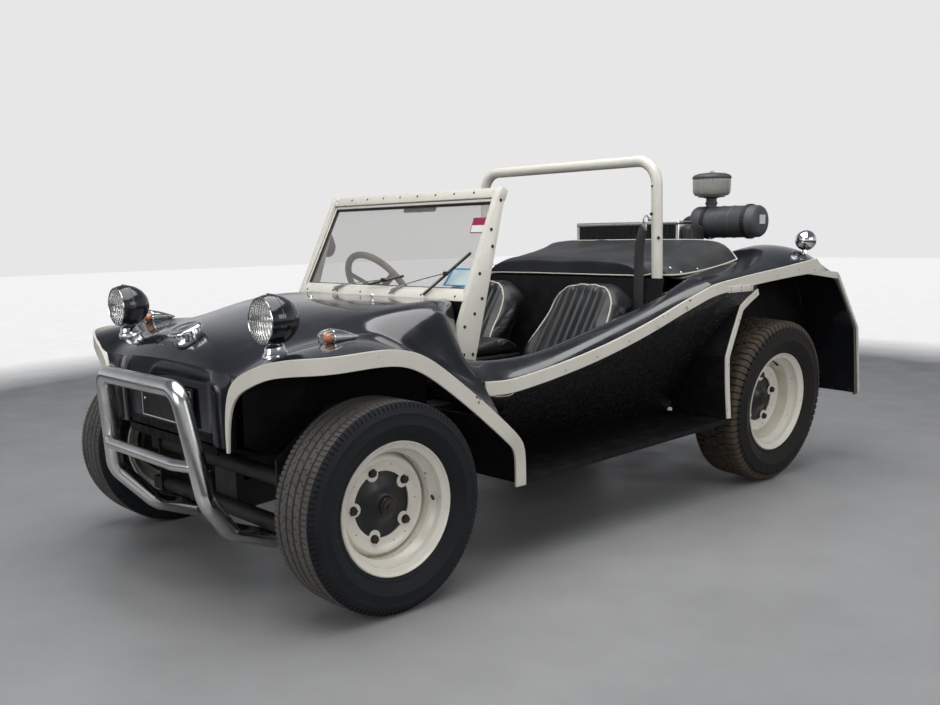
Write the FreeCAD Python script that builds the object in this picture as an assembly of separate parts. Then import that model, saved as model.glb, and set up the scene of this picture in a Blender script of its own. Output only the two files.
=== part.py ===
"""Two-seat dune buggy on a shortened floor pan, with a rear water-cooled engine.

Millimetres, x to the car's left, y to its rear, z up from the ground.  Pieces are drawn with
y = 0 at the front axle, and export() moves them so that the origin is under the middle of the length.
"""
import FreeCAD, Part
import math
import os

os.makedirs("parts", exist_ok=True)

# ---------------------------------------------------------------- driving sizes
WHEELBASE = 2095.0
FRONT_REACH = 427.0          # front guard ahead of the front axle
REAR_REACH = 2827.0          # rear guard behind the front axle
FIT = 0.3                    # gap between pieces that seat on each other
SKIN = 5.0                   # glass-fibre wall
PLATE = 6.0                  # steel brackets and side plates

FRONT_WHEEL = dict(rim_r=195.3, seat_r=177.8, width=140.0, tyre_r=308.5, tread=81.0, section=100.5,
                   plane=682.6, dish=78.6)
REAR_WHEEL = dict(rim_r=208.0, seat_r=190.5, width=165.0, tyre_r=343.0, tread=94.0, section=112.5,
                  plane=611.0, dish=95.0)
FLANGE = 12.0                # rim flange beyond the bead seat
RIM_WALL = 5.0
CAMBER = 4.0                 # rear wheels lean out at the top
BOLT_CIRCLE_R = 102.5        # five bolts
BOLT_COUNT = 5
BOLT_HOLE_R = 7.5
BOLT_TAB_R = 20.0            # rounded tabs that carry the bolts
HUB_HOLE_R = 98.0            # round opening of the disc, between the tabs
FRONT_BOLT_TURN = 18.0       # turn of each pair of wheels as it stands
REAR_BOLT_TURN = -3.5

KINGPIN_X = 530.0
KINGPIN_R = 9.0
PIN_FIT = 0.1                # a pin in its bore
KNUCKLE_R = 21.0
BEAM_Y = -135.0
BEAM_TUBE_R = 27.0
BEAM_HIGH_Z = 355.0
BEAM_LOW_Z = 205.0
BEAM_HALF = 400.0
ARM_LENGTH = 80.0            # steering arm, ahead of the kingpin
ROD_Z = 290.0
ARM_TOP = 9.5                # arm's top face above ROD_Z

BODY_HALF = 700.0            # running boards and rear fenders
BAND_HEIGHT = 45.0
BAND_THICK = 8.0
FLOOR_HALF = 400.0
COCKPIT = (430.0, 1600.0)    # y of its ends; it takes up what the wheelbase adds
FLOOR_FRONT = (430.0, 285.0)   # y, z of the floor's top at its front
FLOOR_REAR = (1690.0, 320.0)
FLOOR_END = 1605.0             # y where the flat floor stops, below the seats' bulkhead
BOARD_THICK = 22.0

SCREEN_FOOT = (506.0, 852.0)   # y, z of the screen frame's front lower edge
SCREEN_RAKE = 26.5
SCREEN_HEIGHT = 413.0
SCREEN_HALF_FOOT = 494.0
SCREEN_HALF_TOP = 481.0
SCREEN_DEPTH = 30.0
SCREEN_RAIL = 50.0
SCREEN_STILE = 32.0
GLASS = 5.0

ROLL_BAR_R = 22.0
ROLL_BAR_HALF = 486.0
ROLL_BAR_Y = 1530.0
ROLL_BAR_TOP = 1338.0
ROLL_BAR_BEND = 130.0

NERF_R = 28.5
NERF_CROSS_R = 18.5
NERF_HALF = 266.0
NERF_TOP = 643.0
GUARD_R = 24.0
FORK_OUT = 190.0             # outside of the frame's fork

LAMP_X = 473.0               # middle of a headlamp's ball
LAMP_Y = -214.0
LAMP_Z = 844.0
LAMP_R = 73.0
LENS_R = 64.0
LENS_AHEAD = 34.5            # lens ahead of the ball's middle

WHEEL_HUB = (-290.0, 760.0, 850.0)   # middle of the steering wheel
STEERING_R = 185.0
STEERING_GRIP = 13.0
COLUMN_TILT = 32.0                   # of the column, from level
COLUMN_R = 17.0

RADIATOR_X = (-330.0, 262.0)
RADIATOR_Y = (1985.0, 2085.0)
RADIATOR_Z = (560.0, 1108.0)
CLEANER_R = 73.0
CLEANER_X = (140.0, 480.0)
CLEANER_Y = 2300.0
CLEANER_Z = 1100.0
GEARBOX_Z = 372.0
ENGINE_Y = (2330.0, 2740.0)


# ---------------------------------------------------------------- helpers
def vec(x, y, z):
    return FreeCAD.Vector(x, y, z)


def along(y):
    """A place along the car, which is drawn for a wheelbase of 2095, at this wheelbase."""
    share = (y - COCKPIT[0]) / (COCKPIT[1] - COCKPIT[0])
    return y + (WHEELBASE - 2095.0) * min(max(share, 0.0), 1.0)


def spot(x, y, z):
    """A drawn point, carried along to this wheelbase."""
    return vec(x, along(y), z)


def box(x0, x1, y0, y1, z0, z1):
    return Part.makeBox(x1 - x0, along(y1) - along(y0), z1 - z0, spot(x0, y0, z0))


def rod(start, end, radius):
    """A round bar from one point to another."""
    start = spot(*start)
    end = spot(*end)
    way = end - start
    return Part.makeCylinder(radius, way.Length, start, way)


def wire(points):
    corners = [spot(*p) for p in points]
    return Part.makePolygon(corners + corners[:1])


def prism(points, move):
    """A flat outline pushed along a direction."""
    return Part.Face(wire(points)).extrude(vec(*move))


def loft(sections):
    """A solid with straight lines between like corners of its sections."""
    solid = Part.makeLoft([wire(s) for s in sections], True, True)
    if solid.Volume < 0:
        solid.reverse()
    return solid


def across(points, x0, x1):
    """A side outline of (y, z) corners, pushed across the car."""
    return prism([(x0, y, z) for y, z in points], (x1 - x0, 0, 0))


def turned(profile, base, axis):
    """A ring or disc whose profile is (radius, height along the axis)."""
    face = Part.Face(wire([(r, 0, h) for r, h in profile]))
    solid = face.revolve(vec(0, 0, 0), vec(0, 0, 1), 360)
    turn = FreeCAD.Rotation(vec(0, 0, 1), vec(*axis))
    solid.Placement = FreeCAD.Placement(spot(*base), turn)
    return solid


def bent_tube(points, bend, radius):
    """A round tube along straight runs joined by tangent arcs of one bend radius."""
    points = [spot(*p) for p in points]
    edges = []
    here = points[0]
    for before, corner, after in zip(points, points[1:], points[2:]):
        back = (before - corner).normalize()
        ahead = (after - corner).normalize()
        half = back.getAngle(ahead) / 2
        reach = bend / math.tan(half)
        start = corner + back * reach
        end = corner + ahead * reach
        middle_way = (back + ahead).normalize()
        middle = corner + middle_way * (bend / math.sin(half) - bend)
        edges.append(Part.LineSegment(here, start).toShape())
        edges.append(Part.Arc(start, middle, end).toShape())
        here = end
    edges.append(Part.LineSegment(here, points[-1]).toShape())
    path = Part.Wire(edges)
    ring = Part.Wire([Part.Circle(points[0], points[1] - points[0], radius).toShape()])
    return path.makePipeShell([ring], True, False)


def mirrored(shape):
    return shape.mirror(vec(0, 0, 0), vec(1, 0, 0))


def both(shape):
    return [shape, mirrored(shape)]


def seated(shape, skin):
    """What stands on a skin: the piece of a shape that is left above it."""
    return max(shape.cut(skin).Solids, key=lambda solid: solid.BoundBox.ZMax)


def fused(shapes):
    solid = shapes[0].multiFuse(shapes[1:])
    return solid.removeSplitter()


def between(table, y, column):
    """A column of a table whose rows start with y, at any y, by straight lines."""
    for low, high in zip(table, table[1:]):
        if y <= high[0]:
            break
    share = (y - low[0]) / (high[0] - low[0])
    return low[column] + share * (high[column] - low[column])


def floor_z(y):
    return between((FLOOR_FRONT, FLOOR_REAR), y, 1)


RAKE = math.radians(SCREEN_RAKE)


SHIFT = vec(0, (FRONT_REACH - along(REAR_REACH)) / 2, 0)


def export(name, shapes):
    shapes = shapes if isinstance(shapes, list) else [shapes]
    moved = [s.translated(SHIFT) for s in shapes]
    solids = [solid for s in moved for solid in s.Solids]
    shape = solids[0] if len(solids) == 1 else Part.makeCompound(solids)
    shape.exportStep("parts/" + name + ".step")


# ---------------------------------------------------------------- front skin
# x, then y and z of the front edge, z at FRONT_STATIONS, then y and z of the rear edge.
# Where the rear edge has no y of its own, it ends at the screen frame.
FRONT_STATIONS = (-200.0, 0.0, 130.0, 250.0)
FRONT_ROWS = (
    (0.0, -292, 722, 778, 822, 852, 864, None, 864),
    (200.0, -292, 718, 770, 817, 849, 863, None, 864),
    (300.0, -288, 710, 760, 810, 845, 860, None, 863),
    (385.0, -284, 694, 746, 785, 815, 845, None, 861),
    (470.0, -300, 690, 744, 766, 786, 822, None, 857),
    (500.0, -305, 704, 750, 766, 776, 775, 430, 690),
    (BODY_HALF - 100.0, -282, 739, 764, 772, 765, 722, 430, 640),
    (BODY_HALF - 45.0, -262, 746, 762, 768, 758, 700, 430, 612),
    (BODY_HALF + 5.0, -238, 750, 756, 762, 745, 668, 430, 553),
    (BODY_HALF + 42.0, -215, 748, 750, 754, 726, 642, 430, 500),
)


def screen_front(z):
    """y of the screen frame's front face at a height."""
    return SCREEN_FOOT[0] + (z - SCREEN_FOOT[1]) * math.tan(RAKE)


def skin_line(row):
    """Top line of the skin at one row, as (y, z) from front to rear."""
    line = [(row[1], row[2])]
    line += [(y, z) for y, z in zip(FRONT_STATIONS, row[3:7])]
    rear_y = row[7] or screen_front(row[8] - SKIN) - FIT
    line.append((rear_y, row[8]))
    return line


def thick_line(line, x, wall):
    """A closed section: a top line and the same line one wall lower."""
    top = [(x, y, z) for y, z in line]
    under = [(x, y, z - wall) for y, z in reversed(line)]
    return top + under


def front_skin():
    """Bonnet and both front fenders as one moulding, with the nose and its side walls."""
    rows = [(-r[0],) + r[1:] for r in reversed(FRONT_ROWS[1:])] + list(FRONT_ROWS)
    return loft([thick_line(skin_line(r), r[0], SKIN) for r in rows])


NOSE_HALF = 385.0
NOSE_FRONT = -315.0
NOSE_LOW = 470.0
NOSE_HIGH = 640.0
PLATE_Z = 567.5              # bolts of the number plate in the nose face
PLATE_BOLTS = 290.0
PLATE_BOLT_R = 3.5


def nose_bay():
    """Nose face, bay floor and side walls below the bonnet, and the sloping toe board."""
    crown = FRONT_ROWS[3]
    under = [(y, z - SKIN - 1.0) for y, z in skin_line(crown)]
    face = [(NOSE_FRONT, NOSE_LOW), (NOSE_FRONT, NOSE_HIGH), under[0], (under[0][0] + SKIN, under[0][1]),
            (NOSE_FRONT + SKIN, NOSE_HIGH), (NOSE_FRONT + SKIN, NOSE_LOW)]
    panel = across(face, -NOSE_HALF, NOSE_HALF)
    wall_line = under[:-1] + [(under[-1][0] - 2, under[-1][1]), (FLOOR_FRONT[0], 700.0), FLOOR_FRONT,
                              (330.0, 300.0), (60.0, 430.0), (-200.0, 440.0), (NOSE_FRONT, NOSE_LOW),
                              (NOSE_FRONT, NOSE_HIGH)]
    wall = across(wall_line, NOSE_HALF - SKIN, NOSE_HALF)
    floor_line = [(NOSE_FRONT, NOSE_LOW), (-200.0, 440.0), (60.0, 430.0), (330.0, 300.0), FLOOR_FRONT,
                  (FLOOR_FRONT[0], FLOOR_FRONT[1] - SKIN), (328.0, 300.0 - SKIN), (57.0, 430.0 - SKIN),
                  (-200.0, 440.0 - SKIN), (NOSE_FRONT, NOSE_LOW - SKIN)]
    floor = across(floor_line, -NOSE_HALF, NOSE_HALF)
    bay = fused([panel, wall, mirrored(wall), floor])
    for x in (-PLATE_BOLTS / 2, PLATE_BOLTS / 2):
        bay = bay.cut(rod((x, NOSE_FRONT - 10, PLATE_Z), (x, NOSE_FRONT + 30, PLATE_Z), PLATE_BOLT_R))
    return bay


# ---------------------------------------------------------------- sides
# y, outer x and z, inner x and z of the rail along the cockpit
RAIL_ROWS = (
    (430.0 + FIT, BODY_HALF - 45, 612, 500, 690),
    (550.0, BODY_HALF - 45, 603, 530, 656),
    (750.0, BODY_HALF - 43, 627, 548, 655),
    (1000.0, BODY_HALF - 40, 670, 550, 707),
    (1270.0, BODY_HALF - 36, 738, 550, 763),
    (1420.0, BODY_HALF - 28, 790, 550, 795),
    (1600.0 - FIT, BODY_HALF, 858, 550, 870),
)


def side_rail():
    """Rolled rail between the cockpit and the outer band, one wall thick."""
    sections = []
    for y, xo, zo, xi, zi in RAIL_ROWS:
        sections.append([(xi, y, zi), (xo, y, zo), (xo, y, zo - BAND_HEIGHT), (xo - SKIN, y, zo - BAND_HEIGHT),
                         (xo - SKIN, y, zo - SKIN), (xi, y, zi - SKIN)])
    return loft(sections)


# (y, z) of the panel ahead of the rear wheel, from its foot to its top
GUARD_LINE = ((1714.0, 321.5), (1694.0, 573.0), (1792.0, 771.0), (1911.0, 826.0))
GUARD_TOP_Z = 884.0
SIDE_FOOT_X = FLOOR_HALF + 10.0
SIDE_REAR = (1690.0, BODY_HALF, 867.0)    # y, x and z of the side's upper rear corner


def side_section(y, inset, foot_drop=0.0):
    """Corner at the rail and corner at the running board of the sloping side, moved in by an inset."""
    tops = [row[:3] for row in RAIL_ROWS] + [SIDE_REAR]
    xo = between(tops, y, 1)
    zo = between(tops, y, 2)
    return [(xo - inset - SKIN, y, zo - BAND_HEIGHT - FIT), (SIDE_FOOT_X - inset, y, floor_z(y) - foot_drop)]


SIDE_STATIONS = (RAIL_ROWS[1][0] + 25.0, 750.0, 1000.0, 1270.0, 1420.0, RAIL_ROWS[-1][0], SIDE_REAR[0])
SIDE_END = (1673.0, 1713.0)    # y of the side's rear edge, at its top and at its foot


def side_panel():
    """Sloping side with a rough finish, from the rail down to the running board."""
    sections = []
    for y in SIDE_STATIONS[:-1]:
        sections.append(side_section(y, -SKIN) + list(reversed(side_section(y, 0.0))))
    top_y, foot_y = SIDE_END
    end = []
    for inset in (-SKIN, 0.0):
        top, foot = side_section(top_y, inset)[0], side_section(foot_y, inset)[1]
        end += [top, foot] if inset else [foot, top]
    sections.append(end)
    x, y, z = end[3]
    share = (GUARD_LINE[1][1] - end[2][2]) / (z - end[2][2])
    waist = tuple(f + share * (t - f) for f, t in zip(end[2], end[3]))
    knee = (x, GUARD_LINE[2][0] - 0.8, GUARD_LINE[2][1] + 0.5)
    flank = [(x, y, z), knee, (x, GUARD_LINE[3][0] - 3.0, GUARD_LINE[3][1] + 1.0),
             (x, GUARD_LINE[3][0] - 3.0, GUARD_TOP_Z - 1.5), (x, GUARD_LINE[3][0] - 60.0, GUARD_TOP_Z - 6.0),
             (x, y, z + BAND_HEIGHT - 7.0)]
    gore = prism([(x, y, z), waist, knee], (SKIN, 0, 0))
    return fused([loft(sections), gore, prism(flank, (SKIN, 0, 0))])


def tub_inside(inset):
    """The space between the two sides, from floor to rail, to trim cross panels with."""
    sections = []
    for y in (RAIL_ROWS[0][0],) + SIDE_STATIONS[1:-1]:
        top, foot = side_section(y, inset)
        lip = (top[0], y, min(between(RAIL_ROWS, y, 2), between(RAIL_ROWS, y, 4)) - SKIN - FIT)
        right = [(-x, py, z) for x, py, z in (foot, top, lip)]
        sections.append([foot, top, lip] + list(reversed(right)))
    return loft(sections)


BOARD_FRONT = 570.0
BOARD_REAR = 1722.0


def running_board():
    """Flat step with a folded outer lip."""
    sections = []
    for y in (BOARD_FRONT, BOARD_REAR):
        z = floor_z(y)
        sections.append([(FLOOR_HALF + FIT, y, z - FIT), (BODY_HALF, y, z - FIT),
                         (BODY_HALF, y, z - FIT - BOARD_THICK), (BODY_HALF - 3 * SKIN, y, z - FIT - BOARD_THICK),
                         (BODY_HALF - 3 * SKIN, y, z - FIT - SKIN), (FLOOR_HALF + FIT, y, z - FIT - SKIN)])
    return loft(sections)


TUNNEL_HALF = 85.0
TUNNEL_TOP = 130.0


def spine_section(y, grow):
    """Outline of the spine above the floor, made larger all round by a gap."""
    z = floor_z(y) - FIT
    return [(-TUNNEL_HALF - grow, y, z), (-TUNNEL_HALF * 0.7 - grow, y, z + TUNNEL_TOP + grow),
            (TUNNEL_HALF * 0.7 + grow, y, z + TUNNEL_TOP + grow), (TUNNEL_HALF + grow, y, z)]


JACK_PAD = (300.0, 1000.0)    # x and y of a jacking pad's middle
JACK_PAD_HALF = 35.0
JACK_PAD_DEPTH = 14.0


def floor_pan():
    """Flat floor with the spine along its middle and a level jacking pad under each side."""
    sections = []
    for y in (FLOOR_FRONT[0] + FIT, FLOOR_END):
        z = floor_z(y) - FIT
        sections.append([(-FLOOR_HALF, y, z)] + spine_section(y, 0.0) +
                        [(FLOOR_HALF, y, z), (FLOOR_HALF, y, z - SKIN), (-FLOOR_HALF, y, z - SKIN)])
    x, y = JACK_PAD
    low = floor_z(y) - SKIN - JACK_PAD_DEPTH
    high = floor_z(y) - SKIN / 2
    pad = box(x - JACK_PAD_HALF, x + JACK_PAD_HALF, y - JACK_PAD_HALF, y + JACK_PAD_HALF, low, high)
    return fused([loft(sections), pad, mirrored(pad)])


# outer x, y and z of the panel behind the front wheel, from its top to its foot
SPLASH_LINE = ((BODY_HALF + 42.0, 430.0 + FIT, 500.0), (BODY_HALF + 18.0, 540.0, 406.0),
               (BODY_HALF + 2.0, BOARD_FRONT - SKIN - FIT, 264.0))


def splash_panel():
    sections = []
    for x, y, z in SPLASH_LINE:
        sections.append([(FLOOR_HALF + FIT, y, z), (x, y, z), (x, y + SKIN, z), (FLOOR_HALF + FIT, y + SKIN, z)])
    return loft(sections)


SEAT_WALL_FOOT = (1350.0, 250.0)
SEAT_WALL_TOP = (1497.0, 884.0)


def seat_bulkhead():
    """Sloping wall behind the seats, trimmed to the sides, the rails and the spine."""
    foot, top = SEAT_WALL_FOOT, SEAT_WALL_TOP
    slab = across([foot, top, (top[0] + SKIN, top[1]), (foot[0] + SKIN, foot[1])], -BODY_HALF, BODY_HALF)
    middle = RAIL_ROWS[-1][3] - FIT
    room = fused([tub_inside(FIT), box(-middle, middle, foot[0], top[0] + SKIN, 600.0, top[1])])
    spine = loft([spine_section(y, FIT) for y in (1300.0, 1500.0)])
    return slab.common(room).cut(spine)


# ---------------------------------------------------------------- rear skin
DECK_INNER = ROLL_BAR_HALF - 46.0     # inner edge of the rear deck, inside the roll bar's legs

# x, then (y, z) of the top line from the cockpit to the foot of the rear mudguard
REAR_ROWS = (
    (DECK_INNER, (1600, 886), (1850, 925), (2090, 968), (2380, 1000),
     (2500, 982), (2640, 880), (2770, 615), (2800, 300)),
    (550.0, (1600, 870), (1850, 916), (2090, 952), (2380, 984),
     (2505, 964), (2645, 862), (2777, 613), (2808, 297)),
    (BODY_HALF - 45.0, (1600, 862), (1850, 892), (2090, 914), (2380, 944),
     (2500, 928), (2640, 838), (2782, 611), (2813, 292)),
    (BODY_HALF, (1600, 858), (1850, 884), (2090, 904), (2380, 932),
     (2490, 916), (2622, 830), (2779, 610), (2816, 289)),
)


def inward(line, wall):
    """The same line one wall inside, for a line that turns down at its end."""
    inner = []
    last = len(line) - 1
    for i, (y, z) in enumerate(line):
        y0, z0 = line[max(i - 1, 0)]
        y1, z1 = line[min(i + 1, last)]
        size = math.hypot(y1 - y0, z1 - z0)
        inner.append((y + (z1 - z0) / size * wall, z - (y1 - y0) / size * wall))
    return inner


def rear_fender():
    """Deck beside the engine, turned down behind the wheel as its mudguard."""
    sections = []
    for row in REAR_ROWS:
        line = list(row[1:])
        closed = line + list(reversed(inward(line, SKIN)))
        sections.append([(row[0], y, z) for y, z in closed])
    return loft(sections)


def front_mudguard():
    sections = []
    for x, top_y, top_z in ((DECK_INNER, 1925.0, 928.0), (BODY_HALF, 1925.0, GUARD_TOP_Z)):
        line = list(GUARD_LINE) + [(top_y, top_z)]
        outline = line + [(y + SKIN, z - 1) for y, z in reversed(line)]
        sections.append([(x, y, z) for y, z in outline])
    return loft(sections)


WELL_HALF = DECK_INNER - FIT
WELL_FLOOR = 600.0
WELL_REAR = 1960.0
WELL_FRONT = 1512.0
WELL_RIM = 884.0


ARCH_IN = 1.0                # wall of the wheel arch, outboard of the deck's inner edge
ARCH_FOOT = ((2762.0, 430.0), (2440.0, 430.0), (2330.0, 560.0), (1860.0, 560.0))   # y and z of its lower edge


def arch_wall():
    """Wall between the rear wheel and the engine, hung below the deck behind the front mudguard."""
    x = DECK_INNER + ARCH_IN
    share = (ARCH_IN + SKIN) / (REAR_ROWS[1][0] - DECK_INNER)
    deck = [tuple(a + share * (b - a) for a, b in zip(inner, outer))
            for inner, outer in zip(REAR_ROWS[0][1:], REAR_ROWS[1][1:])]
    under = inward(deck, SKIN + FIT)
    rear_y, rear_z = ARCH_FOOT[0]
    tail = between([(z, y) for y, z in reversed(under[-2:])], rear_z, 1)
    guard = [(y + SKIN + 1.0, z - 1.0) for y, z in GUARD_LINE[1:]]
    front_y = guard[-1][0] + 14.0
    top = [(front_y, between(under, front_y, 1))] + [p for p in under if p[0] > front_y][:-1]
    outline = guard + top + [(tail, rear_z)] + list(ARCH_FOOT[1:])
    return across(outline, x, x + SKIN)


def luggage_well():
    """Box behind the seats, open at the top under the cover."""
    outer = box(-WELL_HALF, WELL_HALF, WELL_FRONT, WELL_REAR, WELL_FLOOR, WELL_RIM)
    inner = box(-WELL_HALF + SKIN, WELL_HALF - SKIN, WELL_FRONT + SKIN, WELL_REAR - SKIN, WELL_FLOOR + SKIN,
                WELL_RIM + 1)
    flange = ROLL_BAR_HALF + ROLL_BAR_R + 8.0
    flanges = box(-flange, flange, WELL_FRONT, WELL_FRONT + 75.0, WELL_FLOOR, WELL_FLOOR + PLATE)
    return outer.fuse(flanges).cut(inner).removeSplitter()


# ---------------------------------------------------------------- bands
def band(points):
    """A strip that stands on edge along (x, y, z) points, its outward side given by each leg of the path."""
    sections = []
    for x, y, z, down_y, down_z, out_x, out_y in points:
        top = (x, y, z)
        low = (x, y + down_y, z + down_z)
        sections.append([top, (x + out_x, y + out_y, z), (low[0] + out_x, low[1] + out_y, low[2]), low])
    return loft(sections)


def front_band():
    """Band round the front wheel opening: up beside the nose, over the wheel, down to the board."""
    out = BAND_THICK
    drop = -BAND_HEIGHT
    rows = [
        (388, -317, 500, 0, -30, 0, -out),
        (400, -316, 600, 0, -38, 0, -out),
        (432, -318, 660, 0, drop, 0, -out),
    ]
    for row, way in zip(FRONT_ROWS[4:9], ((0, -out), (2, -out), (4, -out), (5, -7), (6, -5))):
        rows.append((row[0], row[1] - FIT, row[2], 0, drop) + way)
    edge = FRONT_ROWS[-1]
    x = edge[0] + FIT
    rows += [
        # x, y, z, way down the strip (y, z), way out (x, y)
        (x, edge[1], edge[2], 0, drop, out, 0),
        (x, 0, edge[4], 0, drop, out, 0),
        (x, 130, edge[5], -12, drop, out, 0),
        (x, 250, edge[6], -30, -34, out, 0),
        (x, 430, edge[8], -34, -30, out, 0),
        (SPLASH_LINE[1][0] + FIT, 543, 406, -42, -14, out, 0),
        (SPLASH_LINE[2][0] + FIT, 566, 266, -45, 0, out, 0),
    ]
    return band(rows)


def side_band():
    """Band along the side and over the rear wheel, down the edge of the rear mudguard."""
    out = BAND_THICK
    drop = -BAND_HEIGHT
    rows = []
    for y, xo, zo, _, _ in RAIL_ROWS:
        rows.append((xo + FIT, max(y, 440.0), zo, 0, drop, out, 0))
    for y, z in REAR_ROWS[-1][2:5]:
        rows.append((BODY_HALF + FIT, y, z, 0, drop, out, 0))
    turn = REAR_ROWS[-1][5:]
    for (y, z), (dy, dz) in zip(turn, ((-14, -42), (-34, -28), (-44, -10), (-45, 0))):
        rows.append((BODY_HALF + FIT, y, z, dy, dz, out, 0))
    return band(rows)


def guard_band():
    out = BAND_THICK
    rows = []
    for (y, z), (dy, dz) in zip(GUARD_LINE, ((24, 0), (24, -3), (18, -18), (8, -24))):
        rows.append((BODY_HALF + FIT, y, z, dy, dz, out, 0))
    return band(rows)


# ---------------------------------------------------------------- screen
def on_screen(x, height, depth):
    """A point of the screen: across, up its slope, and back from its front face."""
    y = SCREEN_FOOT[0] + height * math.sin(RAKE) + depth * math.cos(RAKE)
    z = SCREEN_FOOT[1] + height * math.cos(RAKE) - depth * math.sin(RAKE)
    return (x, y, z)


def screen_block(low, high, half_low, half_high, front, back):
    """A flat block on the screen between two heights."""
    near = [on_screen(x, h, front) for x, h in
            ((-half_low, low), (half_low, low), (half_high, high), (-half_high, high))]
    far = [on_screen(x, h, back) for x, h in
           ((-half_low, low), (half_low, low), (half_high, high), (-half_high, high))]
    return loft([near, far])


def screen_half(height):
    """Half width of the frame at a height up its slope."""
    share = height / SCREEN_HEIGHT
    return SCREEN_HALF_FOOT + share * (SCREEN_HALF_TOP - SCREEN_HALF_FOOT)


def screen_frame():
    whole = screen_block(0, SCREEN_HEIGHT, SCREEN_HALF_FOOT, SCREEN_HALF_TOP, 0, SCREEN_DEPTH)
    high = SCREEN_HEIGHT - SCREEN_RAIL
    hole = screen_block(SCREEN_RAIL, high, screen_half(SCREEN_RAIL) - SCREEN_STILE,
                        screen_half(high) - SCREEN_STILE, -10, SCREEN_DEPTH + 10)
    return whole.cut(hole)


def screen_glass():
    low = SCREEN_RAIL + FIT
    high = SCREEN_HEIGHT - SCREEN_RAIL - FIT
    front = SCREEN_DEPTH * 0.55
    return screen_block(low, high, screen_half(low) - SCREEN_STILE - FIT,
                        screen_half(high) - SCREEN_STILE - FIT, front, front + GLASS)


PLATE_FOOT_X = SCREEN_HALF_FOOT + 7.0
PLATE_FOOT_Z = 702.0
PLATE_TOP_Z = 1220.0


def plate_x(z):
    """Inner face of a side plate at a height."""
    share = (z - PLATE_FOOT_Z) / (PLATE_TOP_Z - PLATE_FOOT_Z)
    return PLATE_FOOT_X + share * (SCREEN_HALF_TOP + FIT - PLATE_FOOT_X)


def screen_plate():
    """Tapered plate at the side of the screen, down to the cowl."""
    foot_x = plate_x(PLATE_FOOT_Z)
    top_x = plate_x(PLATE_TOP_Z)
    low = PLATE_FOOT_Z
    high = PLATE_TOP_Z
    foot = [(foot_x, 450, low), (foot_x + PLATE, 450, low), (foot_x + PLATE, 545, low), (foot_x, 545, low)]
    top_y = on_screen(0, SCREEN_HEIGHT, 0)[1]
    top = [(top_x, top_y - 16, high), (top_x + PLATE, top_y - 16, high),
           (top_x + PLATE, top_y + 24, high), (top_x, top_y + 24, high)]
    return loft([foot, top])


WIPER_FOOT = (496.0, 862.0)   # y and z of a spindle where it leaves the cowl
BLADE_HALF = 105.0


def wiper(foot_x, middle_x, middle_z, slope):
    """Spindle, arm and blade on the outside of the screen; the blade leans by its slope."""
    y, z = WIPER_FOOT
    pin = rod((foot_x, y, z - 10), (foot_x, y, z + 14), 7.0)
    middle = vec(middle_x, SCREEN_FOOT[0] + (middle_z - SCREEN_FOOT[1]) * math.tan(RAKE) - 9.0, middle_z)
    arm = rod((foot_x, y, z + 10), tuple(middle), 3.0)
    lean = math.radians(slope)
    along = vec(math.cos(lean), math.sin(lean) * math.sin(RAKE), math.sin(lean) * math.cos(RAKE)) * BLADE_HALF
    blade = rod(tuple(middle - along), tuple(middle + along), 5.0)
    return seated(fused([pin, arm, blade]), front_skin())


# ---------------------------------------------------------------- lamps, caps and plates
def headlamp():
    """Ball housing with an oval foot on the fender."""
    ball = Part.makeSphere(LAMP_R, spot(LAMP_X, LAMP_Y, LAMP_Z))
    tail = turned([(0, 0), (LAMP_R - 1, 0), (62, 38), (40, 64), (0, 80)], (LAMP_X, LAMP_Y, LAMP_Z), (0, 1, 0))
    reach = 2 * LAMP_R
    front = box(LAMP_X - reach, LAMP_X + reach, LAMP_Y - reach, LAMP_Y - LENS_AHEAD,
                LAMP_Z - reach, LAMP_Z + reach)
    foot = turned([(0, 0), (44, 0), (40, 22), (26, 30), (24, 60), (30, 80), (0, 80)],
                  (LAMP_X, LAMP_Y + 10, LAMP_Z - 128.0), (0, 0, 1))
    return seated(fused([ball.cut(front), tail, foot]), front_skin())


def headlamp_lens():
    profile = [(0, 14), (30, 12.5), (52, 7), (LENS_R, 0), (0, 0)]
    return turned(profile, (LAMP_X, LAMP_Y - LENS_AHEAD - FIT, LAMP_Z), (0, -1, 0))


def headlamp_rim():
    profile = [(LENS_R + FIT, 0), (LENS_R + 5, 0), (LENS_R + 3, 5), (LENS_R + FIT, 6)]
    return turned(profile, (LAMP_X, LAMP_Y - LENS_AHEAD - FIT, LAMP_Z), (0, -1, 0))


INDICATOR = (582.0, -62.0, 788.0)      # middle of the lamp, half sunk in the fender


def indicator():
    """Bullet lamp on the fender, lens to the front."""
    profile = [(0, -62), (12, -50), (22, -20), (25, 8), (25, 30), (21, 45), (12, 56), (0, 60)]
    return seated(turned(profile, INDICATOR, (0, -1, 0)), front_skin())


def deck_lamp():
    """Ball lamp on a stalk on the rear fender."""
    ball = Part.makeSphere(45, spot(618, 2430, 1012))
    face = turned([(0, 0), (36, 0), (36, 10), (0, 16)], (618, 2452, 1012), (0, 1, 0))
    stalk = rod((618, 2425, 940), (618, 2425, 985), 10.0)
    return seated(fused([ball, face, stalk]), rear_fender())


def tail_lamp():
    """Round lamp on the outside of the rear mudguard."""
    base = (580.0, 2785.7, 560.0)
    return turned([(0, 0), (42, 0), (42, 12), (34, 24), (0, 27)], base, (0, 1, 0.11))


def fuel_cap():
    """Ribbed cap on its neck, standing square to the bonnet."""
    way = (0, -0.36, 1)
    foot = (0, -222, 752)
    neck = turned([(0, -6), (46, -6), (46, 26), (0, 26)], foot, way)
    cap = turned([(0, 24), (57, 24), (57, 40), (50, 46), (0, 48)], foot, way)
    return seated(fused([neck, cap]), front_skin())


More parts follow.
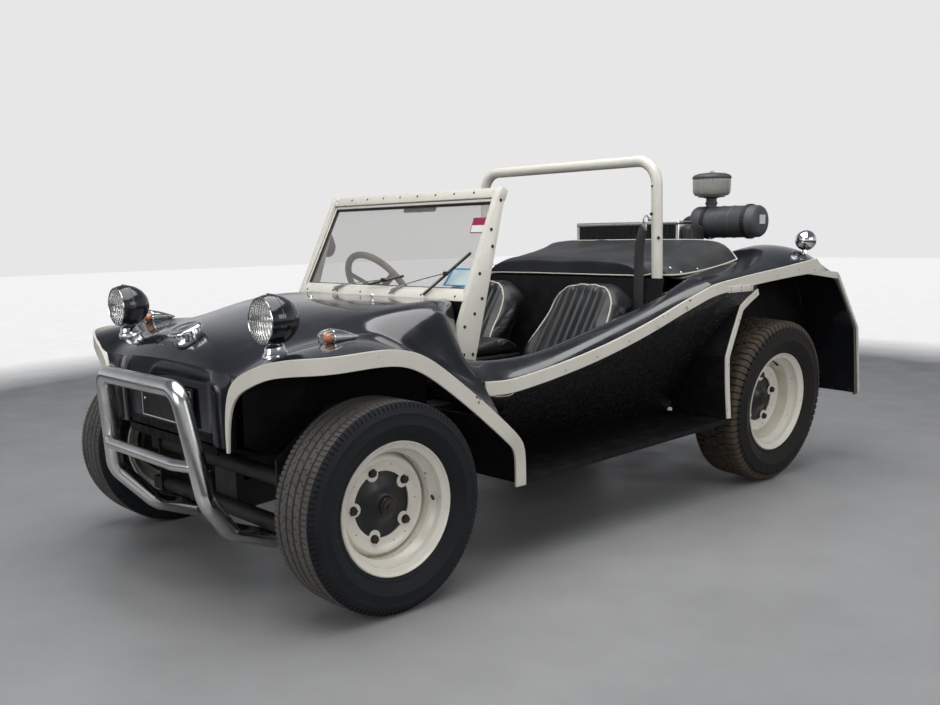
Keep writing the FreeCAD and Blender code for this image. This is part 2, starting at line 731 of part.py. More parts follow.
# ---------------------------------------------------------------- bars
def front_guard():
    """Bent front guard, fixed to the lower axle tube."""
    side = [(NERF_HALF, -398.5, NERF_TOP), (NERF_HALF + 54, -360, 315), (250, -255, 190), (250, -95, 130)]
    path = [(-x, y, z) for x, y, z in reversed(side)] + side
    hoop = bent_tube(path, 70.0, NERF_R)
    cross_path = [(-300, -386, 419), (-222, -408.5, 419), (222, -408.5, 419), (300, -386, 419)]
    cross = bent_tube(cross_path, 60.0, NERF_CROSS_R)
    return fused([hoop, cross])


def roll_bar():
    foot = WELL_FLOOR + PLATE + FIT
    path = [(-ROLL_BAR_HALF, ROLL_BAR_Y + 18, foot), (-ROLL_BAR_HALF, ROLL_BAR_Y, ROLL_BAR_TOP),
            (ROLL_BAR_HALF, ROLL_BAR_Y, ROLL_BAR_TOP), (ROLL_BAR_HALF, ROLL_BAR_Y + 18, foot)]
    hoop = bent_tube(path, ROLL_BAR_BEND, ROLL_BAR_R)
    return hoop.cut(box(-600, 600, 1400, 1700, foot - 50, foot))


def rear_guard():
    """Hoop behind the engine, on the ends of the frame."""
    high = 640.0
    low = 312.0
    back = REAR_REACH - GUARD_R
    foot = (FORK_OUT + GUARD_R + 2 * FIT, 2285, low)
    side = [foot, (260, back, low), (260, back, high)]
    path = [(-x, y, z) for x, y, z in side] + [(x, y, z) for x, y, z in reversed(side)]
    return bent_tube(path, 60.0, GUARD_R)


# ---------------------------------------------------------------- seats and controls
SEAT_X = (105.0, 465.0)


def seat_cushion():
    line = [(760, 400), (760, 500), (800, 525), (1182, 490), (1182, 400)]
    return across(line, SEAT_X[0], SEAT_X[1] - 15)


def seat_back():
    line = [(1195, 470), (1140, 560), (1335, 868), (1400, 885), (1438, 868), (1290, 470)]
    return across(line, SEAT_X[0], SEAT_X[1] + 30)


def seat_shell():
    """Base under the cushion and board behind the back."""
    base = across([(775, floor_z(775)), (775, 400 - FIT), (1190, 400 - FIT), (1190, floor_z(1190))],
                  SEAT_X[0] + 10, SIDE_FOOT_X - 25)
    hollow = across([(790, floor_z(790) - 20), (790, 385), (1175, 385), (1175, floor_z(1175) - 20)],
                    SEAT_X[0] + 25, SIDE_FOOT_X - 40)
    return base.cut(hollow)


def centre_pad():
    """Padded box between the seats."""
    line = [(820, floor_z(820) + TUNNEL_TOP), (820, 590), (850, 625), (1120, 655), (1190, 625),
            (1190, floor_z(1190) + TUNNEL_TOP)]
    return across(line, -82.0, 82.0)


def dashboard():
    """Padded panel below the screen, with the column's hole."""
    front = on_screen(0, -FIT, 0)[1:]
    back = on_screen(0, -FIT, SCREEN_DEPTH)[1:]
    line = [(535, 700), front, back, (598, 832), (612, 800), (560, 700)]
    panel = across(line, -478.0, 478.0)
    return panel.cut(rod(along_column(20.0), along_column(500.0), COLUMN_R + 3.0))


def levers():
    """Gear lever and hand brake on the spine."""
    top = floor_z(700) + TUNNEL_TOP
    boot = turned([(0, 0), (34, 0), (14, 34), (0, 34)], (0, 700, top + 1.0), (0, 0, 1))
    stick = rod((0, 700, top + 20), (0, 745, top + 270), 7.0)
    knob = Part.makeSphere(22, spot(0, 747, top + 280))
    gear = fused([boot, stick, knob])
    brake_top = floor_z(590) + TUNNEL_TOP
    brake = fused([box(-16, 16, 575, 625, brake_top + 1.0, brake_top + 40),
                   rod((0, 600, brake_top + 26), (0, 672, brake_top + 118), 10.0)])
    return [gear, brake]


def pedals():
    """Three hanging pads on their arms, right-hand drive."""
    pieces = []
    for x in (-345.0, -270.0, -180.0):
        arm = rod((x, 470, floor_z(470) + 0.5), (x, 448, 440), 6.0)
        pad = prism([(x - 26, 452, 410), (x + 26, 452, 410), (x + 26, 440, 470), (x - 26, 440, 470)], (0, 9, 2))
        pieces.append(fused([arm, pad]))
    return pieces


TILT = math.radians(COLUMN_TILT)
COLUMN_WAY = (0.0, -math.cos(TILT), -math.sin(TILT))


def along_column(distance):
    """A point of the column, forward and down from the middle of the steering wheel."""
    return tuple(h + d * distance for h, d in zip(WHEEL_HUB, COLUMN_WAY))


def steering_column():
    return rod(along_column(32.0), along_column(795.0), COLUMN_R)


def steering_wheel():
    """Round grip, three spokes and a padded boss."""
    ring = Part.makeTorus(STEERING_R - STEERING_GRIP, STEERING_GRIP, vec(0, 0, 0), vec(0, 0, 1))
    boss = turned([(0, -20), (42, -20), (42, 4), (30, 14), (0, 16)], (0, 0, 0), (0, 0, 1))
    pieces = [ring, boss]
    for angle in (90.0, 210.0, 330.0):
        spoke = box(35, STEERING_R - STEERING_GRIP, -13, 13, -3, 3)
        pieces.append(spoke.rotated(vec(0, 0, 0), vec(0, 0, 1), angle))
    wheel = fused(pieces)
    hub = rod((0, 0, -31), (0, 0, -19), COLUMN_R)
    wheel = fused([wheel, hub])
    turn = FreeCAD.Rotation(vec(0, 0, 1), vec(*[-c for c in COLUMN_WAY]))
    wheel.Placement = FreeCAD.Placement(spot(*WHEEL_HUB), turn)
    return wheel


# ---------------------------------------------------------------- axles and wheels
def tyre(size):
    """Tyre section, with its shoulders rounded off, turned about the wheel's axis."""
    half = size["width"] / 2 - FIT
    seat = size["seat_r"] + FIT
    top = size["tyre_r"]
    side = size["section"]
    tread = size["tread"]
    mid = (seat + top) / 2
    right = [(seat, half), (size["rim_r"] - 4, half), (size["rim_r"] + 6, half + 10), (mid - 12, side),
             (mid + 22, side), (top - 30, tread + 11), (top - 6, tread + 3), (top, tread - 12)]
    left = [(r, -h) for r, h in reversed(right)]
    return right + left


def rim(size):
    """Deep-dished steel rim; five tabs of its disc carry the bolts round a wide opening."""
    half = size["width"] / 2
    rim_r = size["rim_r"]
    seat = size["seat_r"]
    drop = seat - 18
    right = [(rim_r, half + FLANGE), (rim_r, half + 6), (rim_r - 8, half), (seat, half), (seat, half - 22),
             (drop, half - 40)]
    left = [(r, -h) for r, h in reversed(right)]
    outer = right + left
    inner = [(r - RIM_WALL if abs(h) < half + 1 else r - 2 * RIM_WALL, h) for r, h in reversed(outer)]
    barrel = turned(outer + inner, (0, 0, 0), (0, 0, 1))
    face = half + FLANGE - size["dish"]
    front = [(drop - RIM_WALL + 1, face - 22), (150, face - 10), (139, face + 9), (126, face + 7), (118, face)]
    front.append((HUB_HOLE_R, face))
    disc = turned(front + [(r, h - 2 * RIM_WALL / 2) for r, h in reversed(front)], (0, 0, 0), (0, 0, 1))
    spots = []
    for i in range(BOLT_COUNT):
        angle = 2 * math.pi * (i + 0.5) / BOLT_COUNT
        spots.append(vec(BOLT_CIRCLE_R * math.cos(angle), BOLT_CIRCLE_R * math.sin(angle), face - RIM_WALL))
    whole = fused([barrel, disc] + [Part.makeCylinder(BOLT_TAB_R, RIM_WALL, place) for place in spots])
    for place in spots:
        whole = whole.cut(Part.makeCylinder(BOLT_HOLE_R, 3 * RIM_WALL, place - vec(0, 0, RIM_WALL)))
    return whole


DRUM_R = 128.0
AXLE_R = 15.0


def drum(size, reach):
    """Brake drum behind the disc, with the hub and cap through the centre hole."""
    face = size["width"] / 2 + FLANGE - size["dish"] - RIM_WALL - FIT
    profile = [(AXLE_R + 1, face - reach), (30, face - reach), (34, face - 52), (DRUM_R - 6, face - 52),
               (DRUM_R, face - 44), (DRUM_R, face - 12), (DRUM_R - 18, face), (HUB_HOLE_R - 18, face),
               (44, face + 12), (32, face + 16), (27, face + 42), (0, face + 46), (0, face - 20),
               (AXLE_R + 1, face - 20)]
    return turned(profile, (0, 0, 0), (0, 0, 1))


def placed_wheel(solid, size, z, camber, turn):
    """Stand a wheel piece up on the left of the car, leaning out by its camber."""
    solid = solid.copy()
    spin = FreeCAD.Rotation(vec(0, 0, 1), turn)
    lean = math.radians(camber)
    stand = FreeCAD.Rotation(vec(0, 0, 1), vec(math.cos(lean), 0, -math.sin(lean)))
    y = 0.0 if size is FRONT_WHEEL else WHEELBASE
    solid.Placement = FreeCAD.Placement(vec(size["plane"], y, z), stand.multiply(spin))
    return solid


FRONT_Z = FRONT_WHEEL["tyre_r"]
LEAN = math.radians(CAMBER)
REAR_Z = REAR_WHEEL["tyre_r"] * math.cos(LEAN) + (REAR_WHEEL["tread"] - 12) * math.sin(LEAN)


def wheels():
    for end, size, z, camber, reach, turn in (("front", FRONT_WHEEL, FRONT_Z, 0.0, 70.0, FRONT_BOLT_TURN),
                                              ("rear", REAR_WHEEL, REAR_Z, CAMBER, 66.0, REAR_BOLT_TURN)):
        pieces = {"tyre": turned(tyre(size), (0, 0, 0), (0, 0, 1)), "rim": rim(size), "drum": drum(size, reach)}
        for name, piece in pieces.items():
            left = placed_wheel(piece, size, z, camber, turn)
            export(end + "_" + name + "_left", left)
            export(end + "_" + name + "_right", mirrored(left))


def drum_back(size, reach):
    """Distance from the wheel's plane in to the back of its drum's hub."""
    return size["width"] / 2 + FLANGE - size["dish"] - RIM_WALL - FIT - reach


def knuckle():
    """Kingpin housing, stub axle, back plate and steering arm."""
    housing = Part.makeCylinder(KNUCKLE_R, 110, vec(KINGPIN_X, 0, FRONT_Z - 80))
    inner_x = FRONT_WHEEL["plane"] + drum_back(FRONT_WHEEL, 70.0)
    stub = rod((KINGPIN_X + 10, 0, FRONT_Z), (inner_x + 40, 0, FRONT_Z), AXLE_R)
    flange = turned([(0, 0), (60, 0), (60, 6), (0, 6)], (inner_x - 12, 0, FRONT_Z), (1, 0, 0))
    shoulder = rod((KINGPIN_X + 10, 0, FRONT_Z), (inner_x - 1.5, 0, FRONT_Z), 24.0)
    arm = across([(0, ROD_Z - 12), (-ARM_LENGTH - 14, ROD_Z - 9), (-ARM_LENGTH - 14, ROD_Z + ARM_TOP),
                  (-40, ROD_Z + ARM_TOP), (0, ROD_Z + 12)], KINGPIN_X - 12, KINGPIN_X + 12)
    bore = Part.makeCylinder(KINGPIN_R + PIN_FIT, 200, vec(KINGPIN_X, 0, FRONT_Z - 130))
    return fused([housing, shoulder, stub, flange, arm]).cut(bore)


SHOCK_FRONT = ((432.0, 55.0, 228.0), (430.0, 42.0, 540.0))
SHOCK_REAR = ((378.0, 2152.0, 345.0), (350.0, 2205.0, 700.0))
SHOCK_R = 24.0
EYE_HALF = 25.0
EYE_R = 20.0
TOP_EYE_HALF = SHOCK_FRONT[1][0] - BEAM_HALF - FIT    # the upper eye reaches the tower's plate


def frame_head():
    """Box from the axle tubes back to the floor, below the front bay."""
    floor_low = floor_z(FLOOR_FRONT[0]) - 2 * FIT - SKIN
    line = [(BEAM_Y + 10, 190), (BEAM_Y + 10, 370), (-60, 400), (60, 424 - 2 * FIT), (327, 293), (430, floor_low),
            (560, floor_z(560.0) - 2 * FIT - SKIN), (560, 262), (430, 255), (60, 205)]
    slot = box(-80, 80, -ARM_LENGTH - 16, -ARM_LENGTH + 16, ROD_Z, ROD_Z + 46)
    return across(line, -70.0, 70.0).cut(slot)


def axle_beam():
    """Two cross tubes with end plates, shock towers, trailing arms and kingpins."""
    pieces = [rod((-BEAM_HALF, BEAM_Y, z), (BEAM_HALF, BEAM_Y, z), BEAM_TUBE_R)
              for z in (BEAM_HIGH_Z, BEAM_LOW_Z)]
    pieces.append(frame_head())
    tower = [(BEAM_Y - 34, 165), (BEAM_Y + 34, 165), (BEAM_Y + 34, 395), (60, 500), (60, 562), (20, 562),
             (BEAM_Y - 34, 420)]
    link_low = FRONT_Z - 80 - 1.0
    link_high = FRONT_Z + 30 + 1.0
    foot_y = SHOCK_FRONT[0][1] - SHOCK_R - 4 * FIT
    for side in (-1, 1):
        x = side * BEAM_HALF
        pieces.append(across(tower, x - side * 8, x))
        for z in (BEAM_HIGH_Z, BEAM_LOW_Z):
            arm = [(BEAM_Y - 30, z - 22), (BEAM_Y + 20, z - 26), (20, z - 16), (20, z + 16), (BEAM_Y + 20, z + 26),
                   (BEAM_Y - 30, z + 22)]
            pieces.append(across(arm, x, x + side * 62))
        pieces.append(across([(10, 196), (foot_y, 212), (foot_y, 240), (10, 220)], x + side * 20, x + side * 45))
        for z0, z1 in ((BEAM_LOW_Z - 14, link_low), (link_high, BEAM_HIGH_Z + 14)):
            eye = Part.makeCylinder(20, z1 - z0, vec(side * KINGPIN_X, 0, z0))
            lug = box(min(x, side * KINGPIN_X), max(x, side * KINGPIN_X), -14, 14, z0, z1)
            pieces += [eye, lug]
        pin = Part.makeCylinder(KINGPIN_R, BEAM_HIGH_Z - BEAM_LOW_Z + 40,
                                vec(side * KINGPIN_X, 0, BEAM_LOW_Z - 20))
        pieces.append(pin)
    low = TOW_EYE_Z - TOW_LUG_THICK / 2
    lug = Part.makeCylinder(TOW_LUG_R, TOW_LUG_THICK, vec(0, TOW_EYE_Y, low))
    tongue = box(-TOW_LUG_R, TOW_LUG_R, TOW_EYE_Y, BEAM_Y - 10, low, low + TOW_LUG_THICK)
    eye = Part.makeCylinder(TOW_EYE_R, 4 * TOW_LUG_THICK, vec(0, TOW_EYE_Y, low - TOW_LUG_THICK))
    return fused(pieces + [lug, tongue]).cut(eye)


TOW_EYE_Y = -205.0           # hole of the towing lug, ahead of the lower axle tube
TOW_EYE_Z = 200.0
TOW_EYE_R = 10.0
TOW_LUG_R = 26.0
TOW_LUG_THICK = 12.0


def track_rod():
    """Cross rod and its ends, on top of the steering arms, ahead of the kingpins."""
    base = ROD_Z + ARM_TOP + 0.8
    pieces = [rod((-KINGPIN_X + 8, -ARM_LENGTH, base + 13), (KINGPIN_X - 8, -ARM_LENGTH, base + 13), 8.0)]
    for side in (-1, 1):
        pieces.append(turned([(0, 0), (14, 0), (14, 22), (10, 26), (0, 26)],
                             (side * (KINGPIN_X - 1), -ARM_LENGTH, base), (0, 0, 1)))
    return fused(pieces)


def shocks():
    """Front and rear shock absorbers: body, rod and eyes."""
    pieces = []
    for foot, top in (SHOCK_FRONT, SHOCK_REAR):
        start = vec(*foot)
        way = vec(*top) - start
        middle = start + way * 0.5
        lower = rod(foot, tuple(middle), SHOCK_R)
        upper = rod(tuple(start + way * 0.45), top, SHOCK_R + 5)
        eye_low = rod((foot[0] - EYE_HALF, foot[1], foot[2]), (foot[0] + EYE_HALF, foot[1], foot[2]), EYE_R)
        eye_high = rod((top[0] - TOP_EYE_HALF, top[1], top[2]), (top[0] + EYE_HALF, top[1], top[2]), EYE_R)
        pieces += both(fused([lower, upper, eye_low, eye_high]))
    return pieces


REAR_AXLE_Y = 2095.0         # as drawn; the helpers carry it to the wheelbase


def rear_axle():
    """Gearbox, swinging axle tubes, cross tube, spring plates and the frame's fork."""
    box_line = [(1660, 320), (1660, 420), (1760, 460), (1990, 480), (2060, 490), (2130, 490), (2200, 500),
                (2325, 510), (2325, 235), (2200, 260), (2060, 250), (1990, 265), (1760, 300)]
    casing = across(box_line, -75, 75)
    depth = ENGINE_Y[0] - FIT - 2210
    bell = turned([(0, 0), (120, 0), (165, depth - 23), (165, depth), (0, depth)], (0, 2210, GEARBOX_Z), (0, 1, 0))
    final = rod((-120, REAR_AXLE_Y, GEARBOX_Z), (120, REAR_AXLE_Y, GEARBOX_Z), 92.0)
    pieces = [casing, bell, final]
    cross = rod((-BEAM_HALF, 1655, 365), (BEAM_HALF, 1655, 365), 32.0)
    pieces.append(cross)
    for side in (-1, 1):
        out = vec(side * math.cos(LEAN), 0, -math.sin(LEAN))
        centre = vec(side * REAR_WHEEL["plane"], REAR_AXLE_Y, REAR_Z)
        back = drum_back(REAR_WHEEL, 66.0)
        inner = centre + out * (back - 1.5)
        start = vec(side * 100, REAR_AXLE_Y, REAR_Z + (REAR_WHEEL["plane"] - 100) * math.tan(LEAN))
        pieces.append(rod(tuple(start), tuple(inner), 30.0))
        pieces.append(rod(tuple(inner - out * 5), tuple(inner + out * 36), AXLE_R))
        pieces.append(rod(tuple(inner - out * 12), tuple(inner - out * 2), 62.0))
        foot, top = SHOCK_REAR
        plate_x = foot[0] + EYE_HALF + FIT
        plate = [(1625, 340), (1625, 390), (1690, 390), (foot[1] + 26, 375), (foot[1] + 26, 315), (1690, 340)]
        pieces.append(across(plate, side * plate_x, side * (plate_x + 8)))
        fork = [(FLOOR_END + FIT, 300), (FLOOR_END + FIT, 350), (2320, 330), (2320, 290)]
        pieces.append(across(fork, side * (FORK_OUT - 40), side * FORK_OUT))
        end_x = top[0] - TOP_EYE_HALF - FIT
        pieces.append(rod((side * (FORK_OUT - 20), 2200, 325), (side * (end_x - 20), top[1], top[2]), 10.0))
        pieces.append(rod((side * (end_x - 30), top[1], top[2]), (side * end_x, top[1], top[2]), 12.0))
        mount = box(min(side * 70, side * 190), max(side * 70, side * 190), 2270, 2310, 290, 330)
        pieces.append(mount)
    return fused(pieces)


# ---------------------------------------------------------------- engine
def engine():
    """Upright four-cylinder block with finned sump, head cover, bell flange and pulley."""
    front = ENGINE_Y[0]
    back = ENGINE_Y[1]
    block = box(-110, 110, front + 20, back - 40, 300, 560)
    sump = loft([[(-105, front + 40, 300), (105, front + 40, 300), (105, back - 50, 300), (-105, back - 50, 300)],
                 [(-80, front + 60, 215), (80, front + 60, 215), (80, back - 70, 215), (-80, back - 70, 215)]])
    head = box(-95, 95, front + 30, back - 50, 560, 650)
    cover = loft([[(-70, front + 40, 650), (70, front + 40, 650), (70, back - 60, 650), (-70, back - 60, 650)],
                  [(-55, front + 55, 700), (55, front + 55, 700), (55, back - 75, 700), (-55, back - 75, 700)]])
    flange = turned([(0, 0), (168, 0), (168, 22), (0, 22)], (0, front, GEARBOX_Z), (0, 1, 0))
    pulley = turned([(0, 0), (68, 0), (60, 10), (68, 20), (0, 26)], (0, back - 40, 355), (0, 1, 0))
    pump = turned([(0, 0), (48, 0), (48, 30), (42, 36), (0, 42)], (0, back - 40, 540), (0, 1, 0))
    pieces = [block, sump, head, cover, flange, pulley, pump]
    for i in range(7):
        y = front + 75 + i * 38
        pieces.append(box(-92, 92, y, y + 8, 200, 290))
    return fused(pieces)


def alternator():
    body = rod((185, 2560, 440), (185, 2690, 440), 62.0)
    pulley = rod((185, 2688, 440), (185, 2712, 440), 34.0)
    strap = box(110 + FIT, 150, 2600, 2640, 420, 460)
    return fused([body, pulley, strap])


def carburettor():
    """Inlet branch on the head's side, with the carburettor on top."""
    branch = loft([[(95 + FIT, 2440, 585), (95 + FIT, 2640, 585), (95 + FIT, 2640, 635), (95 + FIT, 2440, 635)],
                   [(170, 2470, 610), (170, 2600, 610), (170, 2600, 650), (170, 2470, 650)]])
    body = box(115, 215, 2480, 2590, 648, 760)
    top = rod((165, 2535, 758), (165, 2535, 790), 52.0)
    return fused([branch, body, top])


SILENCER = (2768.0, 232.0)   # y, z of the cross silencer


def exhaust():
    """Four branches into a cross silencer with a tail pipe."""
    pieces = []
    for i in range(4):
        y = 2400 + i * 80
        pieces.append(rod((-102.7, y, 600), (-170, y, 570), 19.0))
    log = rod((-172, 2370, 560), (-172, 2690, 560), 27.0)
    can_y, can_z = SILENCER
    down = bent_tube([(-172, 2650, 560), (-172, 2650, 300), (-172, can_y, can_z)], 30.0, 24.0)
    can = turned([(0, 0), (44, 0), (50, 8), (50, 412), (44, 420), (0, 420)], (-210, can_y, can_z), (1, 0, 0))
    tail = rod((150, can_y, can_z), (150, can_y + 50, can_z - 6), 20.0)
    return fused(pieces + [log, down, can, tail])


# ---------------------------------------------------------------- cooling and intake
def radiator():
    """Framed core with upright slats in front and a shroud at its left end."""
    x0, x1 = RADIATOR_X
    y0, y1 = RADIATOR_Y
    z0, z1 = RADIATOR_Z
    frame = box(x0, x1, y0, y1, z0, z1)
    opening = box(x0 + 20, x1 - 20, y0 - 1, y0 + 22, z0 + 20, z1 - 20)
    body = frame.cut(opening)
    pieces = [body]
    slats = 24
    for i in range(slats):
        x = x0 + 20 + (i + 0.5) * (x1 - x0 - 40) / slats
        pieces.append(box(x - 1.5, x + 1.5, y0 + 8, y0 + 23, z0 + 19, z1 - 19))
    pieces.append(box(x1, x1 + 55, y0 + 10, y1 + 30, z0 + 60, z1 - 18))
    for x in (x0, x1 - 20):
        for z in (640, 820):
            pieces.append(box(x, x + 20, WELL_REAR + FIT, y0 + 1, z, z + 30))
    return fused(pieces)


def radiator_hoses():
    upper = bent_tube([(-200, RADIATOR_Y[1] + FIT, 1040), (-200, 2200, 1040), (-60, 2330, 900), (0, 2420, 740),
                       (0, 2420, 700 + FIT)], 22.0, 20.0)
    lower = bent_tube([(200, RADIATOR_Y[1] + FIT, 640), (200, 2240, 640), (192, 2400, 520), (110 + FIT, 2400, 520)],
                      28.0, 20.0)
    return [upper, lower]


def air_cleaner():
    """Canister lying across the car, with an end cap, a band and its bracket."""
    x0, x1 = CLEANER_X
    can = turned([(0, 0), (CLEANER_R - 8, 0), (CLEANER_R, 8), (CLEANER_R, x1 - x0 - 8), (CLEANER_R - 8, x1 - x0),
                  (0, x1 - x0)], (x0, CLEANER_Y, CLEANER_Z), (1, 0, 0))
    cap = rod((x1 - 70, CLEANER_Y, CLEANER_Z), (x1 - 52, CLEANER_Y, CLEANER_Z), CLEANER_R + 4)
    strap = rod((x0 + 60, CLEANER_Y, CLEANER_Z), (x0 + 82, CLEANER_Y, CLEANER_Z), CLEANER_R + 4)
    stay = across([(RADIATOR_Y[1] + FIT, 1010), (RADIATOR_Y[1] + FIT, 1050), (CLEANER_Y, CLEANER_Z - CLEANER_R + 8),
                   (CLEANER_Y, CLEANER_Z - CLEANER_R - 6)], x0 + 62, x0 + 80)
    return fused([can, cap, strap, stay])


def pre_cleaner():
    """Clear bowl with a lid on a stem above the canister."""
    x = 214.0
    stem = rod((x, CLEANER_Y, CLEANER_Z + CLEANER_R - 6), (x, CLEANER_Y, CLEANER_Z + CLEANER_R + 40), 26.0)
    ends = [(x, CLEANER_Y, CLEANER_Z) for x in CLEANER_X]
    stem = stem.cut(rod(*ends, CLEANER_R + 4 + FIT))
    z = CLEANER_Z + CLEANER_R + 38
    bowl = turned([(0, 0), (58, 0), (80, 14), (85, 70), (85, 86), (60, 110), (0, 116)], (x, CLEANER_Y, z), (0, 0, 1))
    return fused([stem, bowl])


def intake_hose():
    """Elbow from the canister's inner end down to the carburettor."""
    x0 = CLEANER_X[0]
    return bent_tube([(x0 - FIT, CLEANER_Y, CLEANER_Z), (x0 - 75, CLEANER_Y, CLEANER_Z), (x0 - 40, 2420, 950),
                      (165, 2535, 880), (165, 2535, 790 + FIT)], 42.0, 34.0)


COVER_ROWS = (
    # y, half width, z of the middle, z of the shoulder, z of the edge
    (1499.0, 430.0, 890.3, 890.3, 890.3),
    (1560.0, 500.0, 940.0, 938.0, 891.0),
    (1608.0, 540.0, 962.0, 950.0, 893.0),
    (1740.0, 545.0, 985.0, 972.0, 908.0),
    (1900.0, 545.0, 1010.0, 995.0, 934.0),
    (1975.0, 545.0, 1025.0, 1018.0, 945.0),
)
COVER_THICK = 6.0


def cover():
    """Fitted cover over the luggage well, open round the roll bar's legs."""
    sections = []
    for y, half, z_mid, z_shoulder, z_edge in COVER_ROWS:
        top = [(-half, y, z_edge), (-0.75 * half, y, z_shoulder), (0, y, z_mid), (0.75 * half, y, z_shoulder),
               (half, y, z_edge)]
        sections.append(top + [(x, py, z - COVER_THICK) for x, py, z in reversed(top)])
    sheet = loft(sections)
    for side in (-1, 1):
        x = side * ROLL_BAR_HALF
        sheet = sheet.cut(box(min(x - side * 34, x + side * 80), max(x - side * 34, x + side * 80),
                              1480, ROLL_BAR_Y + 48, 800, 1000))
    return sheet


def belts():
    """Hanging belts at the roll bar's legs."""
    x = ROLL_BAR_HALF
    line = [(1500, 1180), (1507, 1180), (1480, 890), (1473, 890)]
    strap = across(line, x - 24, x + 24)
    hook = rod((x, 1500, 1172), (x, ROLL_BAR_Y - ROLL_BAR_R + 3.0, 1172), 9.0)
    return both(fused([strap, hook]))


def mirrors():
    """Inside mirror under the top rail and a round one on the right side plate."""
    foot = on_screen(0, SCREEN_HEIGHT - 30, SCREEN_DEPTH + 1.4)
    inside = fused([box(-110, 110, foot[1] + 30, foot[1] + 42, foot[2] - 42, foot[2] + 8),
                    rod(foot, (0, foot[1] + 34, foot[2] - 10), 6.0)])
    hold = (-plate_x(1040.0) - PLATE - 1.5, 640, 1040)
    outside = fused([rod(hold, (-560, 655, 1040), 6.0),
                     turned([(0, 0), (52, 0), (46, 16), (20, 26), (0, 28)], (-575, 668, 1042), (0, -1, 0))])
    return [inside, outside]


# ---------------------------------------------------------------- build
export("front_skin", front_skin())
export("nose_bay", nose_bay())
export("side_rails", both(side_rail()))
export("side_panels", both(side_panel()))
export("running_boards", both(running_board()))
export("rear_fenders", both(rear_fender()))
export("mudguards", both(splash_panel()) + both(front_mudguard()))
export("edge_bands", both(front_band()) + both(side_band()) + both(guard_band()))
export("floor_pan", floor_pan())
export("inner_walls", [seat_bulkhead(), luggage_well()] + both(arch_wall()))
export("screen_frame", [screen_frame()] + both(screen_plate()))
export("screen_glass", screen_glass())
export("wipers", [wiper(-185.0, 52.0, 911.0, 10.0), wiper(155.0, 366.0, 940.0, 40.0)])
export("mirrors", mirrors())
export("headlamps", both(headlamp()))
export("headlamp_rims", both(headlamp_rim()))
export("headlamp_lenses", both(headlamp_lens()))
export("small_lamps", both(indicator()) + both(deck_lamp()) + both(tail_lamp()))
export("fuel_cap", fuel_cap())
export("guard_bars", [front_guard(), rear_guard()])
export("roll_bar", roll_bar())
export("belts", belts())
export("seat_cushions", both(seat_cushion()))
export("seat_backs", both(seat_back()))
export("seat_bases", both(seat_shell()))
export("centre_pad", centre_pad())
export("dashboard", dashboard())
export("levers", levers() + pedals())
export("steering_column", steering_column())
export("steering_wheel", steering_wheel())
export("axle_beam", axle_beam())
export("knuckle_left", knuckle())
export("knuckle_right", mirrored(knuckle()))
export("track_rod", track_rod())
export("shocks", shocks())
export("rear_axle", rear_axle())
export("engine", [engine(), alternator(), carburettor()])
export("exhaust", exhaust())
export("radiator", radiator())
export("hoses", radiator_hoses() + [intake_hose()])
export("air_cleaner", air_cleaner())
export("pre_cleaner", pre_cleaner())
export("cover", cover())
wheels()
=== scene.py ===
import bpy
import bmesh
import math
import random
from mathutils import Matrix, Vector
from mathutils.bvhtree import BVHTree


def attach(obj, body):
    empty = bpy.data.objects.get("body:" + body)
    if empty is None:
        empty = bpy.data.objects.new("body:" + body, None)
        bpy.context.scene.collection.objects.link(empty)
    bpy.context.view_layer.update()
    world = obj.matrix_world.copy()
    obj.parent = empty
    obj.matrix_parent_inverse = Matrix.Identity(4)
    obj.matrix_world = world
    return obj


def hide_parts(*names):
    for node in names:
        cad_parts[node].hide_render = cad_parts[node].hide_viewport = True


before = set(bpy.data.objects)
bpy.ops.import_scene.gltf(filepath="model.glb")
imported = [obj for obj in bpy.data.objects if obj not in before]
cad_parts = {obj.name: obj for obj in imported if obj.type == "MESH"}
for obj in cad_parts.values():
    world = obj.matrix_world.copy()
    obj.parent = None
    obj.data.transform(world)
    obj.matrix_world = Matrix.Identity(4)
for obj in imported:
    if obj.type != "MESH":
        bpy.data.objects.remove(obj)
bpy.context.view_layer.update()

MM = 0.001
AXLE_Y = -1.2                 # the front axle in the car's frame


def at(x, y, z):
    """A point of the body drawing, in millimetres from the front axle, as a place in metres."""
    return Vector((x * MM, y * MM + AXLE_Y, z * MM))


def drawn(place):
    """The drawing point of a place in metres."""
    return place.x / MM, (place.y - AXLE_Y) / MM, place.z / MM


# ---------------------------------------------------------------- camera
def set_camera():
    yaw, pitch, roll = 0.8453, 0.1614, -0.0195
    ahead = Vector((-math.sin(yaw) * math.cos(pitch), math.cos(yaw) * math.cos(pitch), -math.sin(pitch)))
    right = Vector((math.cos(yaw), math.sin(yaw), 0))
    up = right.cross(ahead)
    right_rolled = math.cos(roll) * right + math.sin(roll) * up
    up_rolled = math.cos(roll) * up - math.sin(roll) * right
    stand = Matrix((right_rolled, up_rolled, -ahead)).transposed().to_4x4()
    stand.translation = (2.8947, AXLE_Y - 1.6589, 1.0715)
    bpy.ops.object.camera_add()
    camera = bpy.context.object
    camera.name = "camera"
    camera.matrix_world = stand
    camera.data.sensor_width = 36
    camera.data.lens = 37.89
    camera.data.shift_x = 0.0128
    camera.data.shift_y = 0.0448
    bpy.context.scene.camera = camera


set_camera()


